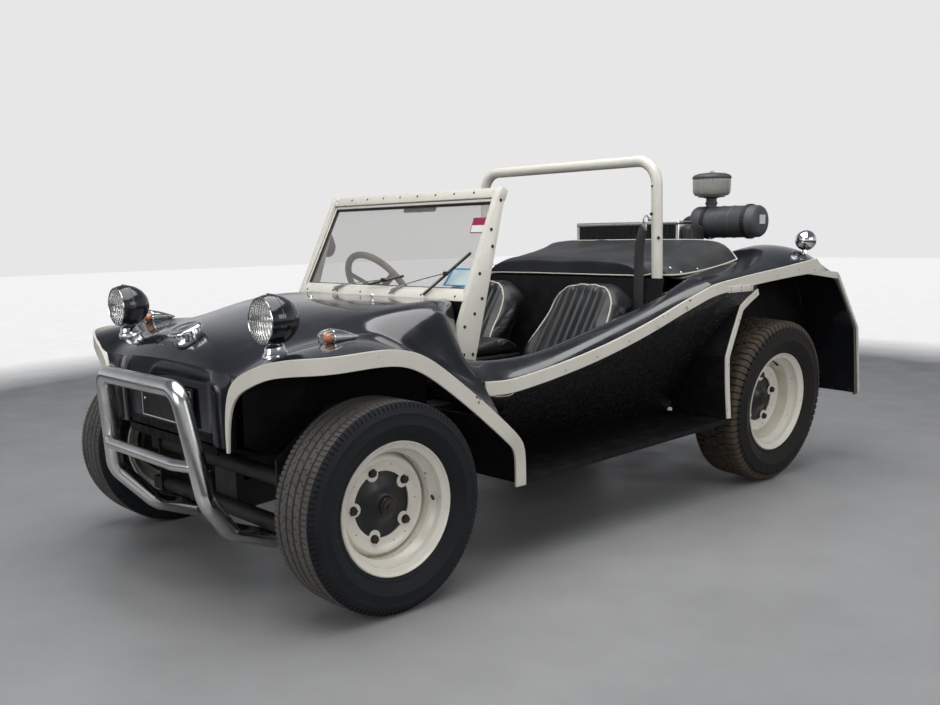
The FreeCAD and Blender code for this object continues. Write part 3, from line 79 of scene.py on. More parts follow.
# ---------------------------------------------------------------- finishes
class Shade:
    """A value inside a finish; arithmetic on it adds the Math nodes."""

    def __init__(self, finish, socket):
        self.finish = finish
        self.socket = socket

    def sums(self, kind, *values):
        return self.finish.node("Math", {"operation": kind}, dict(enumerate(values)))

    def __add__(self, other):
        return self.sums("ADD", self, other)

    def __sub__(self, other):
        return self.sums("SUBTRACT", self, other)

    def __rsub__(self, other):
        return self.sums("SUBTRACT", other, self)

    def __mul__(self, other):
        return self.sums("MULTIPLY", self, other)

    def __gt__(self, other):
        return self.sums("GREATER_THAN", self, other)

    def __lt__(self, other):
        return self.sums("LESS_THAN", self, other)

    __radd__ = __add__
    __rmul__ = __mul__


class Nodes:
    """A node tree and a short way to add to it."""

    def __init__(self, tree):
        self.tree = tree

    def node(self, kind, settings=None, inputs=None, out=0):
        made = self.tree.nodes.new("ShaderNode" + kind)
        for key, value in (settings or {}).items():
            if key == "stops":
                for stop, (where, shade) in zip(made.color_ramp.elements, value):
                    stop.position, stop.color = where, shade
            else:
                setattr(made, key, value)
        for key, value in (inputs or {}).items():
            if isinstance(value, Shade):
                self.tree.links.new(value.socket, made.inputs[key])
            else:
                made.inputs[key].default_value = value
        return None if out is None else Shade(self, made.outputs[out])


class Finish(Nodes):
    """A procedural material round one Principled shader."""

    def __init__(self, name, colour, rough, metallic=0.0, **more):
        self.material = bpy.data.materials.new(name)
        self.material.use_nodes = True
        super().__init__(self.material.node_tree)
        self.shader = self.tree.nodes["Principled BSDF"]
        self.shader.inputs["Base Color"].default_value = (*colour, 1)
        self.shader.inputs["Roughness"].default_value = rough
        self.shader.inputs["Metallic"].default_value = metallic
        for key, value in more.items():
            self.shader.inputs[key.replace("_", " ")].default_value = value
        self.place = self.node("TexCoord", out="Object")

    def stretched(self, scale):
        return self.node("Mapping", inputs={"Vector": self.place, "Scale": scale}) if scale else self.place

    def noise(self, scale, detail=4.0, rough=0.55, stretch=None):
        return self.node("TexNoise", inputs={"Vector": self.stretched(stretch), "Scale": scale, "Detail": detail,
                                             "Roughness": rough})

    def cells(self, scale, feature="F1"):
        return self.node("TexVoronoi", {"feature": feature}, {"Vector": self.place, "Scale": scale})

    def ramp(self, value, low, high, start=0.0, end=1.0):
        """The value stretched so that low gives start and high gives end."""
        return self.node("MapRange", inputs={"Value": value, "From Min": low, "From Max": high,
                                             "To Min": start, "To Max": end})

    def mix(self, share, one, other):
        """One colour where the share is 0, the other where it is 1."""
        one = one if isinstance(one, Shade) else (*one, 1)
        other = other if isinstance(other, Shade) else (*other, 1)
        return self.node("Mix", {"data_type": "RGBA"}, {0: share, 6: one, 7: other}, out=2)

    def near(self, point, reach):
        """1 at a point, falling to 0 at its reach."""
        away = self.node("VectorMath", {"operation": "DISTANCE"}, {0: self.place, 1: tuple(point)}, out="Value")
        return self.ramp(away, 0.0, reach, 1.0, 0.0)

    def colour(self, value):
        self.tree.links.new(value.socket, self.shader.inputs["Base Color"])

    def rough(self, value):
        self.tree.links.new(value.socket, self.shader.inputs["Roughness"])

    def worn(self, mask, share, one, other, smooth, dull):
        """Colour and roughness that go together from one to the other where the mask rises."""
        self.colour(self.mix(mask * share, one, other))
        self.rough(self.ramp(mask, 0.0, 1.0, smooth, dull))

    def bump(self, height, depth, strength=1.0):
        lifted = self.node("Bump", inputs={"Height": height, "Distance": depth, "Strength": strength})
        self.tree.links.new(lifted.socket, self.shader.inputs["Normal"])


def gloss_black_finish():
    """Hand-polished black gel coat with a blue cast, faint swirls and dust."""
    made = Finish("gloss_black", (0.010, 0.011, 0.014), 0.12, Coat_Weight=0.6, Coat_Roughness=0.04)
    cloud = made.noise(3.5, 6.0)
    fine = made.noise(70.0, 3.0)
    dust = made.ramp(made.noise(9.0, 8.0), 0.52, 0.75)
    made.colour(made.mix(dust * 0.35, (0.009, 0.010, 0.013), (0.040, 0.040, 0.042)))
    made.rough(made.ramp(cloud, 0.3, 0.7, 0.10, 0.24) + dust * 0.06)
    made.bump(made.noise(11.0, 2.0) + fine * 0.02, 0.0012, 0.55)
    return made.material


def underside_black_finish():
    """Dull black of the arches and floors, with dried mud and spatter."""
    made = Finish("underside_black", (0.006, 0.006, 0.007), 0.5, Specular_IOR_Level=0.2)
    mud = made.ramp(made.noise(14.0, 8.0), 0.5, 0.72)
    made.colour(made.mix(mud * 0.4, (0.005, 0.005, 0.006), (0.026, 0.022, 0.018)))
    made.rough(made.ramp(made.noise(30.0), 0.3, 0.7, 0.42, 0.75))
    made.bump(made.noise(140.0, 5.0), 0.001, 0.5)
    return made.material


CHIP_PLACES = ((at(716, 470, 505), 0.055), (at(700, 425, 542), 0.03), (at(708, 1330, 735), 0.06),
               (at(710, 1460, 790), 0.05), (at(708, 1240, 712), 0.035), (at(752, 330, 585), 0.03))


def cream_band_finish():
    """Old brush-painted cream edging: yellowed, scuffed, with brown chips at its corners."""
    made = Finish("cream_band", (0.76, 0.73, 0.64), 0.42)
    chips = made.noise(42.0, 8.0, 0.62)
    worn = made.near(*CHIP_PLACES[0])
    for point, reach in CHIP_PLACES[1:]:
        worn = worn.sums("MAXIMUM", worn, made.near(point, reach))
    chip = made.ramp(chips + worn * 0.28, 0.70, 0.715)
    specks = made.ramp(made.cells(55.0), 0.06, 0.045) * (made.noise(6.0) > 0.5)
    soil = made.ramp(made.noise(7.0, 8.0), 0.45, 0.75)
    paint = made.mix(soil * 0.35, (0.78, 0.75, 0.66), (0.60, 0.55, 0.43))
    paint = made.mix(specks * 0.7, paint, (0.12, 0.09, 0.06))
    rust = made.mix(made.ramp(made.noise(160.0), 0.4, 0.6), (0.22, 0.085, 0.045), (0.10, 0.045, 0.030))
    made.colour(made.mix(chip, paint, rust))
    made.rough(made.ramp(soil, 0.0, 1.0, 0.34, 0.52) + chip * 0.3)
    made.bump(made.noise(26.0, 4.0) * 0.5 - chip * 0.5, 0.0008, 0.6)
    return made.material


def cream_steel_finish():
    """Cream enamel on the roll bar and the screen, with rust at pinholes and edges."""
    made = Finish("cream_steel", (0.78, 0.75, 0.67), 0.32, Coat_Weight=0.3, Coat_Roughness=0.2)
    soil = made.ramp(made.noise(9.0, 8.0), 0.48, 0.78)
    chip = made.ramp(made.noise(48.0, 9.0, 0.66), 0.70, 0.715)
    paint = made.mix(soil * 0.3, (0.80, 0.775, 0.69), (0.62, 0.56, 0.44))
    made.colour(made.mix(chip, paint, (0.16, 0.075, 0.045)))
    made.rough(made.ramp(soil, 0.0, 1.0, 0.26, 0.46) + chip * 0.35)
    made.bump(made.noise(60.0, 4.0) * 0.4 - chip, 0.0005, 0.5)
    return made.material


def cream_wheel_finish():
    """Cream wheel enamel with warmer patches and dark flecks of brake dust scattered over it."""
    made = Finish("cream_wheel", (0.80, 0.76, 0.66), 0.30, Coat_Weight=0.4, Coat_Roughness=0.15)
    soil = made.ramp(made.noise(12.0, 8.0), 0.46, 0.78)
    dark = made.ramp(made.noise(60.0, 8.0), 0.68, 0.70)
    paint = made.mix(soil * 0.4, (0.82, 0.785, 0.69), (0.58, 0.50, 0.38))
    made.colour(made.mix(dark * 0.7, paint, (0.10, 0.07, 0.05)))
    made.rough(made.ramp(soil, 0.0, 1.0, 0.24, 0.45))
    made.bump(made.noise(30.0, 3.0), 0.0005, 0.4)
    return made.material


def stainless_finish():
    """Polished stainless tube, hazed and pitted."""
    made = Finish("stainless", (0.72, 0.72, 0.71), 0.2, 1.0)
    haze = made.ramp(made.noise(7.0, 6.0), 0.35, 0.7)
    pits = made.ramp(made.cells(300.0), 0.10, 0.06) * made.ramp(made.noise(11.0), 0.55, 0.65)
    made.colour(made.mix(haze * 0.6, (0.80, 0.80, 0.79), (0.52, 0.52, 0.51)))
    made.rough(made.ramp(haze, 0.0, 1.0, 0.10, 0.34) + pits * 0.2)
    made.bump(made.noise(90.0, 5.0) * 0.3 - pits, 0.0004, 0.35)
    return made.material


def chrome_finish():
    made = Finish("chrome", (0.80, 0.80, 0.81), 0.06, 1.0)
    haze = made.ramp(made.noise(30.0, 6.0), 0.45, 0.75)
    made.worn(haze, 0.4, (0.84, 0.84, 0.85), (0.55, 0.54, 0.52), 0.04, 0.20)
    made.bump(made.noise(120.0, 4.0), 0.0002, 0.3)
    return made.material


def rubber_finish(name, side, dust):
    """Tyre rubber, dusty where it meets the road."""
    made = Finish(name, side, 0.75, Specular_IOR_Level=0.25)
    soil = made.ramp(made.noise(10.0, 8.0), 0.40, 0.72)
    fleck = made.ramp(made.noise(90.0, 6.0), 0.5, 0.75)
    made.colour(made.mix(soil * 0.55 + fleck * 0.2, side, dust))
    made.rough(made.ramp(soil, 0.0, 1.0, 0.55, 0.9))
    made.bump(made.noise(220.0, 4.0), 0.0006, 0.5)
    return made.material


def rough_mat_finish():
    """Side panels painted over raw glass mat: wrinkled, glinting black."""
    made = Finish("rough_mat", (0.008, 0.008, 0.009), 0.22, Coat_Weight=0.3, Coat_Roughness=0.12)
    wide = made.noise(38.0, 4.0, 0.6)
    strands = made.noise(95.0, 6.0, 0.7, (1.0, 1.0, 1.6))
    lumps = made.cells(70.0, "SMOOTH_F1")
    made.rough(made.ramp(wide, 0.3, 0.7, 0.16, 0.34))
    made.bump(wide * 1.0 + strands * 0.8 + lumps * 0.5, 0.011, 0.75)
    return made.material


def vinyl_finish(name, colour, fade, rough, grain, depth):
    """Grained vinyl cloth, paler where it is rubbed and dusty."""
    made = Finish(name, colour, rough)
    wear = made.ramp(made.noise(6.0, 8.0), 0.42, 0.75)
    made.worn(wear, 0.6, colour, fade, rough - 0.05, rough + 0.14)
    made.bump(made.cells(grain) * 0.7 + made.noise(grain * 0.5, 3.0) * 0.5, depth, 0.6)
    return made.material


def steel_finish(name, colour, rust, rough, metallic=0.0, share=0.5):
    """Chassis steel or castings, painted or bare, with dirt and surface rust."""
    made = Finish(name, colour, rough, metallic)
    spread = made.ramp(made.noise(18.0, 9.0, 0.62), 0.48, 0.68)
    made.worn(spread, share, colour, rust, rough, min(rough + 0.3, 0.95))
    made.bump(made.noise(160.0, 5.0), 0.0006, 0.45)
    return made.material


def clear_finish(name, colour, rough, alpha):
    """Thin clear sheet: a film of tint over what lies behind it."""
    made = Finish(name, colour, rough, IOR=1.5, Alpha=alpha)
    smears = made.ramp(made.noise(5.0, 8.0, 0.6, (1.0, 1.0, 2.0)), 0.4, 0.8)
    made.rough(made.ramp(smears, 0.0, 1.0, rough, rough + 0.08))
    made.bump(made.noise(3.0), 0.0002, 0.2)
    return made.material


def lens_finish(name, colour, rib, transmission=0.85):
    """Moulded lamp glass with flutes on its inside."""
    made = Finish(name, colour, 0.05, IOR=1.45, Transmission_Weight=transmission)
    wave = made.node("TexWave", {"wave_type": "BANDS", "bands_direction": "X"},
                     {"Vector": made.place, "Scale": rib, "Distortion": 0.0})
    grime = made.ramp(made.noise(60.0, 6.0), 0.5, 0.8)
    made.rough(made.ramp(grime, 0.0, 1.0, 0.03, 0.16))
    made.bump(wave + made.noise(35.0) * 0.3, 0.002, 0.7)
    return made.material


def plain_finish(name, colour, rough, metallic=0.0, grain=150.0, depth=0.0004, spread=0.25, dirt=None):
    """A moulded or machined surface with slight shading and grain."""
    made = Finish(name, colour, rough, metallic)
    shade = made.ramp(made.noise(16.0, 7.0), 0.4, 0.7)
    made.worn(shade, spread, colour, dirt or tuple(c * 0.55 for c in colour), rough, min(rough + 0.15, 1.0))
    made.bump(made.noise(grain, 4.0), depth, 0.5)
    return made.material


GLOSS_BLACK = gloss_black_finish()
UNDERSIDE_BLACK = underside_black_finish()
CREAM_BAND = cream_band_finish()
CREAM_STEEL = cream_steel_finish()
CREAM_WHEEL = cream_wheel_finish()
STAINLESS = stainless_finish()
CHROME = chrome_finish()
ROAD_RUBBER = rubber_finish("road_rubber", (0.007, 0.009, 0.012), (0.024, 0.025, 0.026))
TRACK_RUBBER = rubber_finish("track_rubber", (0.010, 0.010, 0.010), (0.040, 0.033, 0.025))
ROAD_TREAD = rubber_finish("road_tread", (0.115, 0.108, 0.098), (0.060, 0.056, 0.050))
TRACK_TREAD = rubber_finish("track_tread", (0.062, 0.050, 0.038), (0.120, 0.085, 0.055))
ROUGH_MAT = rough_mat_finish()
COVER_VINYL = vinyl_finish("cover_vinyl", (0.022, 0.023, 0.025), (0.055, 0.056, 0.058), 0.48, 420.0, 0.0005)
SEAT_VINYL = vinyl_finish("seat_vinyl", (0.010, 0.011, 0.012), (0.030, 0.031, 0.033), 0.34, 520.0, 0.0004)
PIPING = vinyl_finish("cream_piping", (0.66, 0.63, 0.54), (0.40, 0.36, 0.28), 0.45, 300.0, 0.0003)
WEBBING = vinyl_finish("belt_webbing", (0.012, 0.012, 0.013), (0.035, 0.034, 0.033), 0.7, 700.0, 0.0006)
BLACK_STEEL = steel_finish("black_steel", (0.014, 0.014, 0.015), (0.060, 0.038, 0.024), 0.5)
RUSTY_STEEL = steel_finish("rusty_steel", (0.045, 0.032, 0.024), (0.16, 0.070, 0.035), 0.62, 0.3, 0.8)
BOLT_STEEL = steel_finish("bolt_steel", (0.030, 0.021, 0.015), (0.075, 0.038, 0.020), 0.55, 0.3, 0.8)
DRUM_BLACK = steel_finish("drum_black", (0.008, 0.009, 0.011), (0.020, 0.017, 0.014), 0.34)
ENGINE_IRON = steel_finish("engine_iron", (0.030, 0.031, 0.034), (0.075, 0.055, 0.038), 0.55, 0.2)
SCREEN_GLASS = clear_finish("screen_glass", (0.34, 0.33, 0.31), 0.02, 0.30)
BOWL_PLASTIC = clear_finish("bowl_plastic", (0.52, 0.51, 0.46), 0.16, 0.46)
LAMP_GLASS = lens_finish("lamp_glass", (0.98, 0.98, 0.96), 30.0, 0.95)
RED_LENS = lens_finish("red_lens", (0.60, 0.02, 0.015), 60.0, 0.4)
CLEAR_LENS = lens_finish("clear_lens", (0.97, 0.97, 0.95), 24.0, 0.97)
REFLECTOR = plain_finish("reflector", (0.86, 0.87, 0.88), 0.12, 1.0, grain=40.0, depth=0.0006, spread=0.15)
AMBER_BULB = plain_finish("amber_bulb", (0.75, 0.22, 0.06), 0.3)
GREY_PLASTIC = plain_finish("grey_plastic", (0.070, 0.075, 0.080), 0.42)
BLACK_PLASTIC = plain_finish("black_plastic", (0.016, 0.016, 0.017), 0.4)
BLACK_RUBBER = plain_finish("black_rubber", (0.014, 0.014, 0.014), 0.6, grain=220.0)
TAN_WRAP = plain_finish("tan_wrap", (0.25, 0.19, 0.13), 0.6, grain=260.0, depth=0.0012, spread=0.7,
                        dirt=(0.09, 0.075, 0.06))
BRIGHT_STEEL = plain_finish("bright_steel", (0.55, 0.55, 0.54), 0.32, 0.9, spread=0.5)
MIRROR_GLASS = plain_finish("mirror_glass", (0.78, 0.80, 0.82), 0.03, 1.0, grain=20.0, depth=0.0001, spread=0.1)
PLATE_BLACK = plain_finish("plate_black", (0.012, 0.012, 0.013), 0.35)
PLATE_WHITE = plain_finish("plate_white", (0.78, 0.78, 0.76), 0.35)
STICKER_MAROON = plain_finish("sticker_maroon", (0.30, 0.015, 0.07), 0.45)
STICKER_BLUE = plain_finish("sticker_blue", (0.60, 0.72, 0.74), 0.45)
LABEL_BLUE = plain_finish("label_blue", (0.05, 0.28, 0.52), 0.45)

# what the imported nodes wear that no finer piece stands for
WEARS = {
    ROUGH_MAT: ("side_panels",),
    UNDERSIDE_BLACK: ("floor_pan", "inner_walls", "mudguards", "running_boards", "dashboard"),
    RUSTY_STEEL: ("exhaust",),
    BLACK_STEEL: ("axle_beam", "knuckle_left", "knuckle_right", "track_rod", "shocks", "rear_axle", "levers",
                  "seat_bases", "steering_column"),
    ENGINE_IRON: ("engine",),
    BLACK_RUBBER: ("hoses",),
}
for finish, names in WEARS.items():
    for name in names:
        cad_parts[name].data.materials.clear()
        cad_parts[name].data.materials.append(finish)


# ---------------------------------------------------------------- floor and lamps
def set_stage():
    """Pale floor whose far part fades into a painted glow, under a pale sky, with a large soft lamp above and a
    smaller one ahead.
    """
    bpy.ops.mesh.primitive_plane_add(size=60)
    floor = bpy.context.object
    floor.name = "floor"
    pale = Finish("pale_floor", (0.50, 0.50, 0.50), 0.42)
    speck = pale.noise(1.2, 8.0, 0.7)
    near = pale.mix(pale.ramp(speck, 0.3, 0.7), (0.28, 0.28, 0.28), (0.34, 0.34, 0.34))
    # Painted light: from about 3.8 m to 5.3 m out from a point beside the car's far rear, the floor's colour fades to
    # black and a glow seen only by camera rays fades in, painting the far floor as bright as the backdrop.
    away = pale.ramp(pale.near((-1.2, 1.2, 0.0), 8.0), 0.52, 0.34)
    pale.colour(pale.mix(away, near, (0.0, 0.0, 0.0)))
    camera = pale.node("LightPath", out="Is Camera Ray")
    painted_glow = pale.mix(away * camera, (0.0, 0.0, 0.0), (0.80, 0.80, 0.80))
    pale.tree.links.new(painted_glow.socket, pale.shader.inputs["Emission Color"])
    pale.shader.inputs["Emission Strength"].default_value = 1.0
    pale.rough(pale.ramp(pale.noise(4.0, 6.0), 0.3, 0.7, 0.34, 0.5))
    floor.data.materials.append(pale.material)
    bpy.context.scene.world = bpy.data.worlds.new("studio")
    bpy.context.scene.world.use_nodes = True
    sky = Nodes(bpy.context.scene.world.node_tree)
    sky.tree.nodes.clear()
    height = sky.node("SeparateXYZ", inputs={0: sky.node("TexCoord", out="Generated")}, out=2)
    stops = ((0.10, (0.56, 0.57, 0.59, 1)), (0.55, (0.13, 0.14, 0.16, 1)))
    shade = sky.node("ValToRGB", {"stops": stops}, {0: height})
    lit = sky.node("Background", inputs={"Color": shade, "Strength": 1.0})
    seen = sky.node("Background", inputs={"Color": (0.80, 0.80, 0.80, 1), "Strength": 1.0})
    straight, through = (sky.node("LightPath", out=f"Is {ray} Ray") for ray in ("Camera", "Transmission"))
    share = sky.node("Math", {"operation": "MAXIMUM"}, {0: straight, 1: through})
    sky.node("OutputWorld", inputs={"Surface": sky.node("MixShader", inputs={0: share, 1: lit, 2: seen})}, out=None)
    for name, where, aim, size, power in (
            ("overhead", (0.4, -0.6, 4.2), (0.0, -0.1, 0.0), (4.0, 5.5), 210.0),
            ("ahead", (1.5, -6.0, 2.6), (0.0, -0.5, 0.6), (3.0, 2.2), 60.0),
            ("beside", (5.5, 1.2, 2.4), (0.0, 0.2, 0.5), (3.5, 1.6), 45.0)):
        bpy.ops.object.light_add(type="AREA", location=where)
        lamp = bpy.context.object
        lamp.name = name
        lamp.data.shape = "RECTANGLE"
        lamp.data.size, lamp.data.size_y = size
        lamp.data.energy = power
        lamp.rotation_euler = (Vector(aim) - Vector(where)).to_track_quat("-Z", "Y").to_euler()


set_stage()
bpy.context.scene.view_settings.view_transform = "Standard"

# ---------------------------------------------------------------- workshop
def drop_all():
    if bpy.context.mode != "OBJECT":
        bpy.ops.object.mode_set(mode="OBJECT")
    bpy.ops.object.select_all(action="DESELECT")


def take(*pieces):
    """Select these pieces alone; the first is the one in hand."""
    drop_all()
    for piece in pieces:
        piece.select_set(True)
    bpy.context.view_layer.objects.active = pieces[0]


def modify(piece, kind, **settings):
    take(piece)
    added = piece.modifiers.new(kind.lower(), kind)
    for key, value in settings.items():
        setattr(added, key, value)
    bpy.ops.object.modifier_apply(modifier=added.name)
    return piece


def pick(piece, kind, wanted):
    """In edit mode, select the faces, edges or vertices that a test wants, and nothing else."""
    take(piece)
    bpy.ops.object.mode_set(mode="EDIT")
    bpy.ops.mesh.select_mode(type={"faces": "FACE", "edges": "EDGE", "verts": "VERT"}[kind])
    bpy.ops.mesh.select_all(action="DESELECT")
    shape = bmesh.from_edit_mesh(piece.data)
    for part in getattr(shape, kind):
        if wanted(part):
            part.select_set(True)
    shape.select_flush_mode()
    bmesh.update_edit_mesh(piece.data)


def wear(piece, finish, wanted=None):
    """Give the whole piece a finish, or only the faces that a test wants."""
    if wanted is None:
        piece.data.materials.clear()
        piece.data.materials.append(finish)
        for face in piece.data.polygons:
            face.material_index = 0
        return piece
    piece.data.materials.append(finish)
    for face in piece.data.polygons:
        if wanted(face):
            face.material_index = len(piece.data.materials) - 1
    return piece


def joined(pieces):
    take(*pieces)
    if len(pieces) > 1:
        bpy.ops.object.join()
    return bpy.context.object


def copy_of(piece, move):
    """A copy with its own mesh, carried by a matrix; a mirrored copy is turned right side out."""
    new = piece.copy()
    new.data = piece.data.copy()
    bpy.context.scene.collection.objects.link(new)
    new.data.transform(move)
    if move.determinant() < 0:
        new.data.flip_normals()
    return new


MIRROR_X = Matrix.Diagonal((-1, 1, 1, 1))


def pair(piece):
    """The piece and its mirror image across the car, as one."""
    return joined([piece, copy_of(piece, MIRROR_X)])


def set_down(piece, name, finish=None, angle=35, stands_for=(), body="vehicle"):
    """Finish a piece: its place in its mesh, its name, its shading, its finish and its body."""
    take(piece)
    bpy.ops.object.transform_apply(location=True, rotation=True, scale=True)
    piece.name = piece.data.name = name
    if finish:
        wear(piece, finish)
    bpy.ops.object.shade_smooth_by_angle(angle=math.radians(angle))
    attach(piece, body)
    if stands_for:
        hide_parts(*stands_for)
    return piece


def rounded(piece, round_edge, steps=2):
    """Round a piece's edges by a width in millimetres."""
    if round_edge:
        modify(piece, "BEVEL", width=round_edge * MM, segments=steps, limit_method="ANGLE")
    return piece


def block(low, high, round_edge=0.0, steps=2):
    """A box between two corners of the drawing, its edges rounded."""
    low, high = at(*low), at(*high)
    drop_all()
    bpy.ops.mesh.primitive_cube_add(size=1, location=(low + high) / 2)
    piece = bpy.context.object
    piece.scale = high - low
    bpy.ops.object.transform_apply(location=True, rotation=True, scale=True)
    return rounded(piece, round_edge, steps)


def skin_of(rows, levels=2, mirror=False, sharp=()):
    """A sheet through rows of drawing points: a grid whose crossings are moved to their places and
    rounded by subdivision. Sharp lists (row or None, column or None, amount)."""
    drop_all()
    wide, deep = len(rows[0]), len(rows)
    bpy.ops.mesh.primitive_grid_add(x_subdivisions=wide - 1, y_subdivisions=deep - 1, size=1)
    piece = bpy.context.object
    for vertex, point in zip(piece.data.vertices, [p for row in rows for p in row]):
        vertex.co = at(*point)
    if sharp:
        crease = piece.data.attributes.new("crease_edge", "FLOAT", "EDGE")
        for edge in piece.data.edges:
            (r0, c0), (r1, c1) = (divmod(v, wide) for v in edge.vertices)
            for row, column, amount in sharp:
                if (row is not None and r0 == r1 == row) or (column is not None and c0 == c1 == column):
                    crease.data[edge.index].value = amount
    if mirror:
        modify(piece, "MIRROR", use_clip=True, merge_threshold=0.0005)
    if levels:
        modify(piece, "SUBSURF", levels=levels, render_levels=levels, boundary_smooth="PRESERVE_CORNERS")
    return outwards(piece)


def outwards(piece):
    """Turn every face of a piece outwards."""
    pick(piece, "faces", lambda f: True)
    bpy.ops.mesh.normals_make_consistent(inside=False)
    drop_all()
    return piece


def face_towards(piece, way):
    """Turn an open sheet so that its faces look the given way on the whole."""
    way = Vector(way)
    if sum(face.normal.dot(way) * face.area for face in piece.data.polygons) < 0:
        piece.data.flip_normals()
    return piece


def shell_of(piece, way, wall, side=-1):
    """A sheet turned to face a way and given its wall in millimetres, behind it (-1) or before it (1)."""
    return modify(face_towards(piece, way), "SOLIDIFY", thickness=wall * MM, offset=side, use_even_offset=True)


def draw_out(step, merge=False):
    """Extrude what is selected by a step in metres, to one point if wanted."""
    bpy.ops.mesh.extrude_region_move(TRANSFORM_OT_translate={"value": tuple(step)})
    if merge:
        bpy.ops.mesh.merge(type="CENTER")


def lathe(profile, steps=64, closed=False):
    """A turned form about the z axis, from (radius, height) pairs in millimetres."""
    drop_all()
    rings = [(wide, high) for wide, high in profile if wide > 0]
    radius, height = rings[0]
    bpy.ops.mesh.primitive_circle_add(vertices=steps, radius=radius * MM, location=(0, 0, height * MM))
    piece = bpy.context.object
    bpy.ops.object.transform_apply(location=True, rotation=True, scale=True)
    bpy.ops.object.mode_set(mode="EDIT")
    bpy.ops.mesh.select_mode(type="VERT")
    bpy.ops.mesh.select_all(action="SELECT")
    for wide, high in rings[1:]:
        draw_out((0, 0, (high - height) * MM))
        bpy.ops.transform.resize(value=(wide / radius, wide / radius, 1), center_override=(0, 0, 0))
        radius, height = wide, high
    if profile[-1][0] == 0:
        draw_out((0, 0, (profile[-1][1] - height) * MM), merge=True)
    if closed or profile[0][0] == 0:
        if not closed:
            bpy.ops.mesh.select_all(action="DESELECT")
        shape = bmesh.from_edit_mesh(piece.data)
        shape.verts.ensure_lookup_table()
        for vertex in shape.verts[:steps]:
            vertex.select_set(True)
        shape.select_flush_mode()
        bmesh.update_edit_mesh(piece.data)
        if closed:
            bpy.ops.mesh.bridge_edge_loops()
        else:
            draw_out((0, 0, (profile[0][1] - rings[0][1]) * MM), merge=True)
    return outwards(piece)


def stood(piece, base, axis):
    """A turned form put at a drawing point, its axis along a direction."""
    turn = Vector((0, 0, 1)).rotation_difference(Vector(axis)).to_matrix().to_4x4()
    piece.data.transform(Matrix.Translation(at(*base)) @ turn)
    return piece


def tube(points, bend, radius, segments=8, around=8, closed=False):
    """A round tube along a path of drawing points whose corners are rounded to a bend radius."""
    drop_all()
    bpy.ops.mesh.primitive_plane_add(size=0.01, location=at(*points[0]))
    piece = bpy.context.object
    bpy.ops.object.transform_apply(location=True, rotation=True, scale=True)
    bpy.ops.object.mode_set(mode="EDIT")
    bpy.ops.mesh.select_mode(type="VERT")
    bpy.ops.mesh.select_all(action="SELECT")
    bpy.ops.mesh.merge(type="CENTER")
    for before, after in zip(points, points[1:]):
        draw_out(at(*after) - at(*before))
    if closed:
        bpy.ops.mesh.select_all(action="SELECT")
        bpy.ops.mesh.edge_face_add()
        bpy.ops.mesh.delete(type="ONLY_FACE")
    if bend:
        shape = bmesh.from_edit_mesh(piece.data)
        shape.verts.ensure_lookup_table()
        inner = [v.index for v in shape.verts if len(v.link_edges) == 2]
        spots = [shape.verts[i].co.copy() for i in inner]
        for spot in spots:
            shape = bmesh.from_edit_mesh(piece.data)
            for vertex in shape.verts:
                vertex.select_set((vertex.co - spot).length < 1e-6)
            shape.select_flush_mode()
            bmesh.update_edit_mesh(piece.data)
            corner = next(v for v in shape.verts if v.select)
            ways = [(e.other_vert(corner).co - corner.co).normalized() for e in corner.link_edges]
            half = ways[0].angle(ways[1]) / 2
            reach = bend * MM / math.tan(half)
            bpy.ops.mesh.bevel(offset_type="OFFSET", offset=reach * math.sin(half), segments=segments,
                               affect="VERTICES", profile=0.5)
    drop_all()
    take(piece)
    bpy.ops.object.convert(target="CURVE")
    line = bpy.context.object
    line.data.dimensions = "3D"
    line.data.bevel_depth = radius * MM
    line.data.bevel_resolution = around
    line.data.use_fill_caps = not closed
    bpy.ops.object.convert(target="MESH")
    return bpy.context.object


def plate_of(outline, low, high, round_edge=0.0):
    """A flat piece across the car: a ring of drawing points (y, z) filled, and drawn out from x low to high."""
    drop_all()
    bpy.ops.mesh.primitive_circle_add(vertices=len(outline), radius=1, fill_type="NGON")
    piece = bpy.context.object
    for vertex, (y, z) in zip(piece.data.vertices, outline):
        vertex.co = at(low, y, z)
    pick(piece, "faces", lambda f: True)
    draw_out(((high - low) * MM, 0, 0))
    return rounded(outwards(piece), round_edge)


def studs(places, way, radius, height, steps=10):
    """Domed rivet or screw heads at drawing points, as one piece."""
    heads = []
    for place in places:
        head = lathe([(radius, 0), (radius * 0.92, height * 0.5), (radius * 0.6, height * 0.88), (0, height)], steps)
        heads.append(stood(head, place, way))
    return joined(heads)


